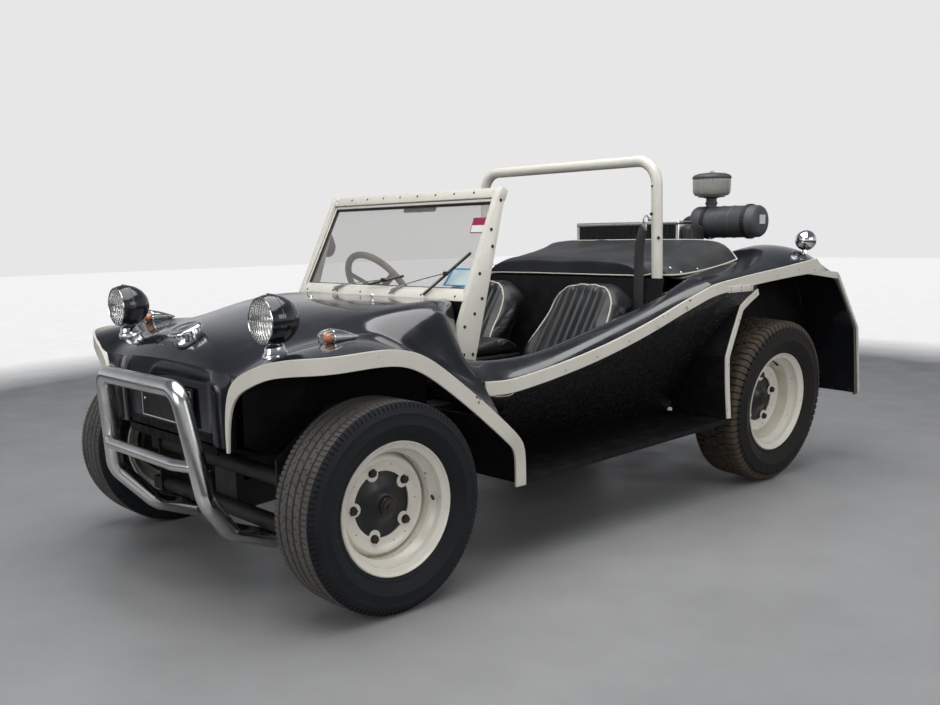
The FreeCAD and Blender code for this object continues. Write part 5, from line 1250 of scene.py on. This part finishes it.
def screen():
    frame_bars = screen_border(screen_ring(0, 0), screen_ring(36, 22), 0, 30, 2.5)
    lip = screen_border(screen_ring(34, 20), screen_ring(47, 29), 7, 26, 1.5)
    set_down(joined([frame_bars, lip]), "screen_frame_bars", CREAM_STEEL, 30, ("screen_frame",))
    gaskets = [screen_border(screen_ring(46, 28), screen_ring(51.5, 33.5), 11, 24, 1.2),
               screen_border(screen_ring(35.4, 21.4), screen_ring(37.6, 23.6), 5.8, 9, 0.6)]
    set_down(joined(gaskets), "screen_gaskets", BLACK_RUBBER, 30)
    set_down(screen_slab(screen_ring(50, 32), 16.5, 21.0), "screen_pane", SCREEN_GLASS, 30, ("screen_glass",))
    way = (0, -math.cos(RAKE), math.sin(RAKE))
    spots = [on_screen(-456 + 101.5 * i, SCREEN_TALL - 15, 0) for i in range(10)]
    spots += [on_screen(-440 + 176 * i, 16, 0) for i in range(6)]
    set_down(studs(spots, way, 4.2, 2.2), "screen_frame_screws", BOLT_STEEL)


SIDE_SCREWS = ((0.93, 0.55), (0.76, 0.3), (0.66, 0.72), (0.50, 0.3), (0.36, 0.75), (0.27, 0.55), (0.19, 0.25),
               (0.05, 0.16), (0.045, 0.84), (0.035, 0.5))


def side_plate_point(up, across, out=0.0):
    """A point of the screen's left side plate: its share of the height and of the width, and how far out."""
    front, rear = ((y0 + up * (y1 - y0), z0 + up * (z1 - z0)) for y0, z0, y1, z1 in ((424, 672, 680, 1212),
                                                                                      (538, 648, 714, 1222)))
    return (503 - 21.5 * up + out, front[0] + across * (rear[0] - front[0]), front[1] + across * (rear[1] - front[1]))


def side_plates():
    parts = [hull(*([side_plate_point(up, share, out) for up, out in ring] for share in (0, width)), round_edge)
             for ring, width, round_edge in ((((0, 0), (0, 4), (1, 4), (1, 0)), 1, 1.5),
                                             (((0.08, -13), (0.08, 3), (1, 3), (1, -22)), 0.03, 1.0))]
    parts.append(screen_slab(((452, 376), (488, 376), (488, 414.5), (452, 414.5)), -1.5, 31.5, 1.5))
    set_down(pair(joined(parts)), "screen_side_plates", CREAM_STEEL, 30)
    heads = [side_plate_point(up, across, 4) for up, across in SIDE_SCREWS]
    set_down(pair(studs(heads, (1, 0, 0.04), 6.0, 3.4)), "side_plate_screws", BOLT_STEEL)


WIPERS = (  # foot and tip of the head, low and high end of the blade (x, z), where the arm meets it
    ((100, 515, 870), (155, 529, 898), (287, 868), (454, 1007), 0.5),
    ((-250, 515, 871), (-196, 524, 889), (-38, 895), (142, 927), 0.45),
)
HEAD_FOOT = ((0, 0, -6), (0, -12, -2), (0, -7, 11), (0, 4, 6))
HEAD_TIP = ((0, 0, -5), (0, -7, -2), (0, -4, 5), (0, 3, 3))


def moved(point, step):
    return tuple(a + d for a, d in zip(point, step))


def between(one, other, share):
    return tuple(a + (b - a) * share for a, b in zip(one, other))


def off_glass(point, depth):
    """A point moved out from the pane."""
    return moved(point, (0, -depth * math.cos(RAKE), depth * math.sin(RAKE)))


def wipers_and_jets():
    silver, black = [], []
    for foot, tip, low, high, share in WIPERS:
        silver.append(hull([moved(foot, step) for step in HEAD_FOOT], [moved(tip, step) for step in HEAD_TIP], 1.5))
        low, high = ((x, 506 + (z - 852) * math.tan(RAKE) - 9, z) for x, z in (low, high))
        middle = between(low, high, share)
        black.append(tube([low, high], 0, 4.6, 2, 5))
        silver.append(tube([off_glass(low, 5), off_glass(high, 5)], 0, 2.2, 2, 3))
        silver.append(tube([tip, off_glass(between(tip, middle, 0.5), 6), off_glass(middle, 7)], 60, 2.0, 4, 4))
        clip = off_glass(middle, 5)
        black.append(block(moved(clip, (-9, -6, -7)), moved(clip, (9, 6, 7)), 2))
        stand = between(foot, tip, 0.3)
        black.append(stood(lathe([(11, 0), (11, 5), (7, 8), (7, 20), (0, 21)], 24),
                           (stand[0], stand[1] + 2, 848), (0, -0.12, 1)))
    set_down(joined(black), "wiper_blades", BLACK_PLASTIC, 35, ("wipers",))
    set_down(joined(silver), "wiper_arms", BRIGHT_STEEL)
    jets = [stood(lathe([(9, 0), (9, 3), (5.5, 5), (5.5, 15), (7, 17), (7, 22), (3, 26), (0, 26.5)], 24),
                  (189, 362, 850), (0, -0.05, 1)),
            stood(lathe([(13, 0), (13, 4), (7, 7), (6, 16), (0, 19)], 6), (-189, 362, 850), (0, -0.05, 1))]
    set_down(joined(jets), "washer_jets", CHROME)


def on_pane(name, finish, x0, x1, z0, z1, slant=0.0, lift=0.0):
    """A blank sticker on the pane between two heights, its top shifted across by a slant."""
    places = [(x0, z0), (x1, z0), (x1 + slant, z1), (x0 + slant, z1)]

    def ring(depth):
        return [on_screen(x, (z - 852 + depth * math.sin(RAKE)) / math.cos(RAKE), depth) for x, z in places]

    return set_down(hull(ring(15.6 - lift), ring(16.4 - lift)), name, finish, 30)


def stickers():
    on_pane("square_sticker_edge", STICKER_MAROON, 386, 458, 1072, 1123, -6)
    on_pane("square_sticker_face", PLATE_WHITE, 389, 455, 1075, 1098, -3, 0.5)
    on_pane("wide_sticker_edge", LABEL_BLUE, 340, 466, 898, 956, 22)
    on_pane("wide_sticker_face", STICKER_BLUE, 354, 466, 902, 951, 18, 0.5)


def mirrors_and_strip():
    strip_mirror = [on_screen(x, h, 27) for x, h in ((-42, 350), (140, 350), (140, 374), (-42, 374))]
    strip_back = [on_screen(x, h, 38) for x, h in ((-38, 352), (136, 352), (136, 372), (-38, 372))]
    inner = hull(strip_mirror, strip_back, 4)
    stem = tube([on_screen(49, 352, 34), on_screen(49, 380, 34)], 0, 5, 2, 6)
    back = lathe([(0, 16), (22, 13), (38, 6), (46, -2), (47, -8), (44, -9)], 48)
    glass = lathe([(0, -6), (44, -6), (45.5, -8)], 48)
    for part in (back, glass):
        for vertex in part.data.vertices:
            rise = max(0.0, vertex.co.y)
            vertex.co.y *= 1.0 + 9.0 * rise
            vertex.co.x *= 1.0 - 5.0 * rise
        turn = Matrix.Rotation(math.radians(8), 4, "Z") @ Matrix.Rotation(math.radians(90), 4, "X")
        part.data.transform(Matrix.Translation(at(-556, 690, 1032)) @ turn)
    arm = tube([(-552, 680, 1070), (-540, 676, 1098), (-492, 668, 1100)], 14, 4.5, 5, 6)
    set_down(joined([inner, stem, back]), "mirror_shells", GREY_PLASTIC, 35, ("mirrors",))
    set_down(arm, "mirror_arm", CHROME)
    set_down(glass, "mirror_glass_plate", MIRROR_GLASS)


screen()
side_plates()
wipers_and_jets()
stickers()
mirrors_and_strip()


# ---------------------------------------------------------------- seats
SEAT_MIDDLE = 296.0
CUSHION_MIDDLE = 288.0
CLOTH_FRAMES = 20


def ease(value, low, high):
    """0 below low, 1 above high, smooth between."""
    share = min(max((value - low) / (high - low), 0.0), 1.0)
    return share * share * (3 - 2 * share)


def stuffed(piece, shape, cap, pressure=4.0, voxel=0.006):
    """Remesh a form, move its points by a shape, and let cloth under pressure swell it, no point past the cap."""
    bpy.context.view_layer.update()
    modify(piece, "REMESH", mode="VOXEL", voxel_size=voxel)
    for vertex in piece.data.vertices:
        vertex.co = at(*shape(*drawn(vertex.co)))
    before = [vertex.co.copy() for vertex in piece.data.vertices]
    take(piece)
    cloth = piece.modifiers.new("cloth", "CLOTH")
    cloth.settings.use_pressure = True
    cloth.settings.uniform_pressure_force = pressure
    cloth.settings.effector_weights.gravity = 0
    cloth.settings.quality = 5
    for frame_number in range(1, CLOTH_FRAMES + 1):
        bpy.context.scene.frame_set(frame_number)
    bpy.ops.object.modifier_apply(modifier=cloth.name)
    bpy.context.scene.frame_set(1)
    for vertex, start in zip(piece.data.vertices, before):
        moved = vertex.co - start
        if moved.length > cap * MM:
            vertex.co = start + moved * (cap * MM / moved.length)
    return piece


def sewn(piece, depth_at, way):
    """Subdivide once, then pull the sewn channels in against a direction."""
    modify(piece, "SUBSURF", levels=1, render_levels=1)
    way = Vector(way)
    facings = [max(0.0, -vertex.normal.dot(way)) for vertex in piece.data.vertices]
    for vertex, facing in zip(piece.data.vertices, facings):
        vertex.co += way * (depth_at(*drawn(vertex.co)) * facing * MM)
    return piece


PLEAT_PITCH = 38.0
PLEATS = tuple(SEAT_MIDDLE + PLEAT_PITCH * step for step in range(-3, 4))
CHANNEL = 6.5                 # half width of a sewn channel
SEAM_ACROSS = 121.0           # the long seams, from the seat's middle


def channel_depth(x, lines, depth):
    """How deep the sewing pulls the cover in, near the nearest of the lines across."""
    nearest = min(abs(x - line) for line in lines)
    return depth * max(0.0, 1 - nearest / CHANNEL) ** 0.7


def seat_back_shape(x, y, z):
    """Rounded shoulders, side bolsters that stand forward and a hollow between them."""
    side = abs(x - SEAT_MIDDLE)
    high = ease(z, 600, 880)
    z -= high * 78 * max(0.0, (side - 70) / 117) ** 2
    front = ease(1290 - (y - (z - 560) * 0.6), 60, 140)
    y -= front * 26 * ease(side, 118, 182) * (1 - 0.6 * high)
    y += front * 10 * (1 - ease(side, 60, 130))
    return x, y, z


def seat_cushion_shape(x, y, z):
    """Raised sides, a hollow in the middle and a front edge that rolls down."""
    side = abs(x - CUSHION_MIDDLE)
    top = ease(z, 440, 500)
    z += top * (10 * ease(side, 110, 165) - 8 * (1 - ease(side, 40, 120)) - 14 * max(0.0, (820 - y) / 70) ** 2)
    return x, y, z


def follow(piece, points, radius, lift=0.0):
    """A piping laid along drawing points, each first brought onto the piece's face."""
    tree = BVHTree.FromPolygons([v.co for v in piece.data.vertices], [f.vertices for f in piece.data.polygons])
    laid = []
    for point in points:
        place, normal, _, _ = tree.find_nearest(at(*point))
        laid.append(drawn(place + normal * (lift * MM)))
    return tube(laid, 0, radius, 2, 3)


def curve_between(points, steps):
    """More points along a smooth line through the given ones."""
    dense = []
    for i in range(len(points) - 1):
        p0, p1, p2, p3 = (Vector(points[min(max(j, 0), len(points) - 1)]) for j in (i - 1, i, i + 1, i + 2))
        for step in range(steps):
            t = step / steps
            dense.append(tuple(0.5 * (2 * p1 + (p2 - p0) * t + (2 * p0 - 5 * p1 + 4 * p2 - p3) * t * t
                                      + (3 * p1 - p0 - 3 * p2 + p3) * t ** 3)))
    return dense + [tuple(points[-1])]


def seats():
    back = plate_of(((1200, 478), (1150, 562), (1338, 858), (1396, 876), (1428, 862), (1286, 478)), 113, 481, 24)
    stuffed(back, seat_back_shape, 10)
    front_way = (0, 0.85, -0.53)

    def back_channels(x, y, z):
        inside = 1 - ease(abs(x - SEAT_MIDDLE), 118, 122)
        return inside * channel_depth(x, PLEATS, 7.0) * ease(860 - z, 0, 40)
    sewn(back, back_channels, front_way)
    rim = [(122, 1190, 520), (116, 1185, 600), (116, 1215, 680), (124, 1262, 745), (145, 1306, 803), (190, 1335, 846),
           (240, 1346, 866), (296, 1350, 872), (352, 1346, 866), (402, 1335, 846), (447, 1306, 803), (468, 1262, 745),
           (476, 1215, 680), (476, 1185, 600), (470, 1190, 520)]
    piping = follow(back, curve_between(rim, 4), 3.4, 0.6)
    heights = range(560, 841, 20)
    inner = [(SEAT_MIDDLE + side * SEAM_ACROSS, 1150 + 0.633 * (z - 560), z)
             for side, zs in ((-1, heights), (1, heights[::-1])) for z in zs]
    seam = follow(back, inner, 1.6, -0.4)
    set_down(seam, "seat_seam", SEAT_VINYL, 50)

    cushion = plate_of(((768, 408), (768, 494), (806, 516), (1174, 482), (1174, 408)), 113, 442, 22)
    stuffed(cushion, seat_cushion_shape, 9)

    def cushion_channels(x, y, z):
        inside = (1 - ease(abs(x - CUSHION_MIDDLE), 108, 112)) * ease(y, 822, 850)
        return inside * channel_depth(x + SEAT_MIDDLE - CUSHION_MIDDLE, PLEATS, 6.0)
    sewn(cushion, cushion_channels, (0, 0, -1))
    edge = [(120, 1165, 478), (118, 1000, 500), (118, 860, 512), (126, 800, 508), (160, 778, 500), (278, 772, 500),
            (396, 778, 500), (430, 800, 508), (438, 860, 512), (438, 1000, 500), (436, 1165, 478)]
    edging = follow(cushion, curve_between(edge, 5), 3.2, 0.4)

    for piece, name, node in ((back, "seat_back_pad", "seat_backs"), (cushion, "seat_cushion_pad", "seat_cushions")):
        other = copy_of(piece, MIRROR_X)
        set_down(piece, name + "_left", SEAT_VINYL, 60, (node,))
        set_down(other, name + "_right", SEAT_VINYL, 60)
    set_down(pair(joined([piping, edging])), "seat_piping", PIPING, 60)
    set_down(copy_of(seam, MIRROR_X), "seat_seam_right", SEAT_VINYL, 50)


def centre_box():
    lid = plate_of(((826, 596), (846, 618), (1120, 647), (1180, 620), (1180, 596)), -76, 76, 14)
    stuffed(lid, lambda x, y, z: (x, y, z), 7, 4.0, 0.005)

    def lid_channel(x, y, z):
        return 4.0 * max(0.0, 1 - abs(abs(x) - 52) / 5) if 850 < y < 1150 else 0.0
    sewn(lid, lid_channel, (0, 0, -1))
    set_down(lid, "centre_pad_lid", SEAT_VINYL, 60, ("centre_pad",))
    box = block((-78, 832, 430), (78, 1180, 590), 8, 3)
    ridge = block((-80, 829, 572), (80, 1182, 588), 4, 2)
    set_down(joined([box, ridge]), "centre_pad_box", SEAT_VINYL)
    clasp = block((-14, 820, 560), (14, 830, 604), 2, 2)
    knob = stood(lathe([(7, 0), (7, 8), (4, 10), (0, 10)], 20), (0, 820, 574), AHEAD)
    set_down(joined([clasp, knob]), "centre_pad_clasp", CHROME)


# ---------------------------------------------------------------- controls
WHEEL_HUB = (-290, 760, 850)
GRIP_R = 0.172
GRIP_RIDGES = 72
COLUMN_TILT = math.radians(32)
TOWARDS_DRIVER = (0, math.cos(COLUMN_TILT), math.sin(COLUMN_TILT))


def steering():
    """Ribbed wrapped grip, three flat spokes and a hub."""
    drop_all()
    bpy.ops.mesh.primitive_torus_add(major_radius=GRIP_R, minor_radius=0.013, major_segments=144,
                                     minor_segments=20)
    grip = bpy.context.object
    for vertex in grip.data.vertices:
        angle = math.atan2(vertex.co.y, vertex.co.x)
        ridge = 1 + 0.05 * math.cos(GRIP_RIDGES * angle)
        centre = Vector((math.cos(angle), math.sin(angle), 0)) * GRIP_R
        vertex.co = centre + (vertex.co - centre) * ridge
    stood(grip, WHEEL_HUB, TOWARDS_DRIVER)
    set_down(grip, "steering_grip", TAN_WRAP, 60, ("steering_wheel",), "steering_wheel")
    parts = [lathe([(0, 16), (20, 14), (30, 10), (42, 2), (42, -18), (17, -22), (17, -30)], 40)]
    for angle in (90, 210, 330):
        drop_all()
        bpy.ops.mesh.primitive_cube_add(size=1, location=(0.102, 0, -0.002))
        spoke = bpy.context.object
        spoke.scale = (0.128, 0.026, 0.004)
        bpy.ops.object.transform_apply(location=True, rotation=True, scale=True)
        modify(spoke, "BEVEL", width=0.0012, segments=2, limit_method="ANGLE")
        spoke.data.transform(Matrix.Rotation(math.radians(angle), 4, "Z"))
        parts.append(spoke)
    hub = stood(joined(parts), WHEEL_HUB, TOWARDS_DRIVER)
    set_down(hub, "steering_spokes", BLACK_STEEL, body="steering_wheel")


def belts():
    """A strap that hangs beside each seat, by a hook on the roll bar."""
    rows = []
    for y, z, turn, wide, middle in ((1496, 1092, 10, 14, 452), (1490, 1072, 25, 17, 450), (1482, 1040, 50, 19, 447),
                                     (1476, 1000, 62, 19, 446), (1472, 950, 55, 19, 448), (1466, 900, 40, 19, 452),
                                     (1462, 850, 30, 19, 455), (1458, 780, 26, 19, 458), (1450, 700, 22, 19, 460),
                                     (1446, 640, 20, 19, 460)):
        turn = math.radians(turn)
        dx, dy = wide * math.cos(turn), wide * math.sin(turn)
        rows.append([(middle - dx, y - dy, z), (middle, y, z), (middle + dx, y + dy, z)])
    strap = skin_of(rows, 2)
    modify(strap, "SOLIDIFY", thickness=0.0022, offset=0)
    set_down(pair(strap), "hanging_belts", WEBBING, 45, ("belts",))
    ring = tube([(452, 1500, 1088), (452, 1492, 1112), (456, 1502, 1130), (466, 1508, 1118)], 6, 3.2, 4, 5)
    pin = stood(lathe([(9, 0), (9, 5), (4, 8), (0, 8)], 6), (472, 1508, 1112), AHEAD)
    buckle = block((440, 1492, 1068), (466, 1499, 1094), 3, 2)
    set_down(pair(joined([ring, pin, buckle])), "belt_hooks", BRIGHT_STEEL, 40)


seats()
centre_box()
steering()
belts()


# ---------------------------------------------------------------- behind the seats
BACK = (0, 1, 0)


def roll_bar():
    """The hoop behind the seats, with its bolts and two holes drawn as black discs of painted shade."""
    bar = tube([(486, 1546, 608), (486, 1528, 1338), (-486, 1528, 1338), (-486, 1546, 608)], 130, 22, 14, 7)
    set_down(bar, "roll_hoop", CREAM_STEEL, 60, ("roll_bar",))
    bolts = studs([(478, 1507.5, 1132), (505, 1520, 1040), (-478, 1507.5, 1132)], (0.1, -1, 0), 7, 5, 6)
    set_down(bolts, "roll_bar_bolts", BOLT_STEEL)
    # Painted shade: the two holes are thin black discs on the hoop's front, standing for the dark inside of the tube.
    holes = joined([stood(lathe([(4.5, 0), (4, 0.6), (0, 0.6)], 16), (x, 1506.6, z), AHEAD)
                    for x, z in ((480, 1238), (-480, 1238))])
    set_down(holes, "roll_bar_hole_shades", PLATE_BLACK)


COVER_ROWS = (  # y, half width, heights at 0, .35, .7, .9 and 1 of the half
    (1503, 431, 893, 893, 893, 893, 891),
    (1499, 432, 944, 952, 946, 934, 893),
    (1530, 434, 958, 963, 960, 944, 893),
    (1574, 442, 966, 970, 966, 950, 893),
    (1584, 512, 968, 971, 962, 934, 892),
    (1640, 542, 984, 982, 972, 938, 894),
    (1740, 548, 1003, 998, 990, 950, 904),
    (1860, 553, 1015, 1012, 1006, 976, 918),
    (1945, 562, 1025, 1023, 1021, 1006, 936),
    (1974, 566, 1029, 1027, 1027, 1016, 944),
    (1979, 566, 1002, 1002, 1002, 990, 935),
    (1980, 560, 900, 900, 905, 915, 925),
)
COVER_SHARES = (-1, -0.9, -0.7, -0.35, 0, 0.35, 0.7, 0.9, 1)


def cover_point(row, share):
    """The point of a row at a share of its half width."""
    y, half, *heights = row
    return (share * half, y, heights[COVER_SHARES.index(abs(share)) - 4] if share else heights[0])


def cover():
    """The stretched cover: its rows' form, shallow folds, a sag between its ends, piping and snaps."""
    rows = [[cover_point(row, share) for share in COVER_SHARES] for row in COVER_ROWS]
    sheet = face_towards(skin_of(rows, 3, sharp=((1, None, 0.7), (9, None, 0.7))), UP)
    draw = random.Random(11)
    waves = [(draw.uniform(-0.4, 0.4), draw.uniform(1.55, 1.95), draw.uniform(-0.9, 0.9), draw.uniform(14, 30),
              draw.uniform(1.2, 3.0)) for _ in range(9)]
    for vertex in sheet.data.vertices:
        x, y = vertex.co.x, vertex.co.y - AXLE_Y
        lift = 0.0
        for x0, y0, turn, tight, high in waves:
            along = (x - x0) * math.cos(turn) + (y - y0) * math.sin(turn)
            over = -(x - x0) * math.sin(turn) + (y - y0) * math.cos(turn)
            lift += high * math.exp(-(over * tight) ** 2) * math.exp(-(along * 4) ** 2)
        sag = -5 * math.cos(min(max((y - 1.50) / 0.48, 0), 1) * 2 * math.pi - math.pi) - 5
        vertex.co.z += (lift + sag * max(0.0, 1 - (abs(x) / 0.5) ** 4)) * MM
    side = [cover_point(row, 1) for row in COVER_ROWS[1:10]]
    front = [cover_point(COVER_ROWS[0], share) for share in COVER_SHARES]
    back = [cover_point(COVER_ROWS[9], share) for share in COVER_SHARES]
    pipes = [pair(follow(sheet, curve_between(side, 3), 3.4))]
    pipes += [follow(sheet, curve_between(line, 3), 3.0) for line in (front, back)]
    set_down(joined(pipes), "cover_piping", PIPING, 60)
    modify(sheet, "SOLIDIFY", thickness=0.003, offset=-1)
    set_down(sheet, "stretched_cover", COVER_VINYL, 60, ("cover",))
    places = [(x - 14, y, z + 8) for x, y, z in curve_between(side[4:], 2)[::2]]
    places += [(500, 1606, 921), (-410, 1497, 930)]
    snaps = [studs(places, (0.5, 0, 0.86), 6.5, 4, 14)]
    snaps.append(studs([(-x, y, z) for x, y, z in places], (-0.5, 0, 0.86), 6.5, 4, 14))
    set_down(joined(snaps), "cover_snaps", CHROME, 50)


def radiator():
    """Bright frame round a dark core behind mesh, and the fan's shroud beside it."""
    rails = [block((-330, 1985, 1090), (262, 2085, 1108), 4, 3), block((-330, 1985, 560), (262, 2085, 580), 3, 2),
             block((-330, 1987, 566), (-312, 2083, 1104), 3, 2), block((244, 1987, 566), (262, 2083, 1104), 3, 2)]
    rails += [block((-344, 2000, z), (-330, 2070, z + 40), 3, 2) for z in (640, 820)]
    set_down(joined(rails), "radiator_frame", STAINLESS, 35, ("radiator",))
    core = [block((-313, 1992, 578), (245, 2078, 1092))]
    core += [block((x - 3, 1989, 578), (x + 3, 2081, 1092)) for x in range(-300, 244, 18)]
    set_down(joined(core), "radiator_core", DRUM_BLACK, 30)
    drop_all()
    bpy.ops.mesh.primitive_grid_add(x_subdivisions=46, y_subdivisions=42, size=1)
    mesh = bpy.context.object
    for vertex in mesh.data.vertices:
        vertex.co = at(-34 + vertex.co.x * 556, 1987, 835 + vertex.co.y * 512)
    modify(mesh, "WIREFRAME", thickness=0.0024, use_even_offset=False)
    set_down(mesh, "radiator_mesh", BLACK_STEEL, 30)
    shroud = block((262, 1995, 620), (317, 2115, 1090), 26, 5)
    set_down(shroud, "fan_shroud", BLACK_PLASTIC, 45)


CLEANER = (0, 2300, 1100)
CLAMP_TOOTH = 1.022           # how far a clamp's teeth stand out of its band


def air_cleaner():
    """Ribbed canister lying across the engine, two toothed clamps and a blank label on its end."""
    can = [(0, 140), (60, 140), (70, 144), (73, 152), (73, 196), (71, 199), (71, 404), (73, 408), (73, 436),
           (71, 440), (70, 462), (64, 472), (48, 478), (0, 480)]
    body = stood(lathe(can, 72), CLEANER, OUT)
    for x in (230, 285, 340):
        rib = lathe([(71, -5), (72.6, -3), (72.6, 3), (71, 5)], 72)
        body = joined([body, stood(rib, (x, *CLEANER[1:]), OUT)])
    set_down(body, "cleaner_canister", GREY_PLASTIC, 40, ("air_cleaner",))
    teeth = []
    for x in (209, 419):
        drop_all()
        bpy.ops.mesh.primitive_cylinder_add(vertices=144, radius=0.0745, depth=0.018, end_fill_type="NOTHING")
        ring = bpy.context.object
        for i, vertex in enumerate(ring.data.vertices):
            if (i // 4) % 2:
                vertex.co.x *= CLAMP_TOOTH
                vertex.co.y *= CLAMP_TOOTH
        modify(ring, "SOLIDIFY", thickness=0.002, offset=0)
        teeth.append(stood(ring, (x, *CLEANER[1:]), OUT))
    set_down(joined(teeth), "cleaner_clamps", BLACK_STEEL, 30)
    rows = [[(480.2, 2300 + across * 22, 1100 + up * 20 + 8) for across in (-1, 0, 1)]
            for up in (-1, 0, 1)]
    label = face_towards(skin_of(rows, 0), OUT)
    modify(label, "SOLIDIFY", thickness=0.001, offset=0)
    set_down(label, "cleaner_label", PLATE_WHITE, 30)


def pre_cleaner():
    """Clear ribbed bowl with vanes in it, on a stem, under a lid with a nut."""
    spot = (214, 2300, 0)
    stem = lathe([(24, 1167), (24, 1180), (28, 1182), (28, 1190), (24, 1192), (24, 1208), (40, 1212),
                  (60, 1214), (60, 1218), (30, 1220)], 48)
    stem = stood(stem, spot, UP)
    set_down(stem, "bowl_stem", GREY_PLASTIC, 40, ("pre_cleaner",))
    bowl = lathe([(56, 1216), (74, 1222), (82, 1232), (84, 1250), (85, 1282), (84, 1297), (78, 1300)], 128)
    for vertex in bowl.data.vertices:
        turn = math.atan2(vertex.co.y, vertex.co.x)
        share = 1 + 0.012 * math.cos(32 * turn)
        vertex.co.x *= share
        vertex.co.y *= share
    stood(bowl, spot, UP)
    modify(bowl, "SOLIDIFY", thickness=0.0025, offset=-1)
    set_down(bowl, "clear_bowl", BOWL_PLASTIC, 50)
    vanes = [stood(lathe([(38, 1220), (44, 1240), (44, 1288), (30, 1296)], 32), spot, UP)]
    for step in range(12):
        vane = block((232, 2299, 1222), (290, 2301, 1286), 0)
        turn = Matrix.Translation(at(*spot)) @ Matrix.Rotation(math.radians(30 * step), 4, "Z")
        vane.data.transform(turn @ Matrix.Translation(-at(*spot)))
        vanes.append(vane)
    set_down(joined(vanes), "bowl_vanes", GREY_PLASTIC, 40)
    lid = stood(lathe([(86, 1296), (88, 1300), (87, 1306), (78, 1314), (60, 1320), (20, 1324), (0, 1324)], 64),
                spot, UP)
    set_down(lid, "bowl_lid", GREY_PLASTIC, 45)
    nut = stood(joined([lathe([(10, 1323), (10, 1328), (0, 1328)], 20), lathe([(7, 1326), (7, 1332), (0, 1333)], 6)]),
                spot, UP)
    set_down(nut, "bowl_nut", BRIGHT_STEEL)


def rear_lamps():
    """Bright ball lamps that look back from the deck, and red lamps on the mudguards."""
    ball = ((0, -45), (16, -42), (30, -33.5), (40, -20.5), (45, 0), (43, 12), (40, 20), (39, 22), (37, 22), (36, 20))
    stalk = ((22, 0), (22, 3), (14, 7), (10, 14), (10, 56))
    place = (618, 2430, 1012)
    balls = [stood(lathe(ball, 56), place, BACK), stood(lathe(stalk, 40), (618, 2425, 936), UP)]
    set_down(pair(joined(balls)), "deck_lamp_balls", CHROME, 50, ("small_lamps",))
    turned_pairs(place, BACK,
                 (((36.5, 18), (34, 23), (26, 27), (0, 30)), 48, "deck_lamp_lenses", CLEAR_LENS, 50),
                 (((36, 17), (24, 4), (10, -8), (0, -12)), 40, "deck_lamp_bowls", REFLECTOR, 50))
    turned_pairs((580, 2785.7, 560), (0, 1, 0.11),
                 (((42, 0), (42, 8), (39, 11), (36, 11)), 48, "tail_lamp_rims", CHROME, 45),
                 (((36, 8), (36, 18), (33, 23), (22, 26), (8, 27), (0, 27)), 48, "tail_lamp_lenses", RED_LENS, 45))


def rear_wall_rivets():
    places = [(x, y, 306) for x, y in ((470, 2801.5), (575, 2807), (660, 2810))]
    heads = studs(places, BACK, 6, 4, 10)
    inner = studs([(x, y - 4, z) for x, y, z in places], AHEAD, 6, 4, 10)
    set_down(pair(joined([heads, inner])), "mudguard_rivets", BOLT_STEEL, 45)


roll_bar()
cover()
radiator()
air_cleaner()
pre_cleaner()
rear_lamps()
rear_wall_rivets()
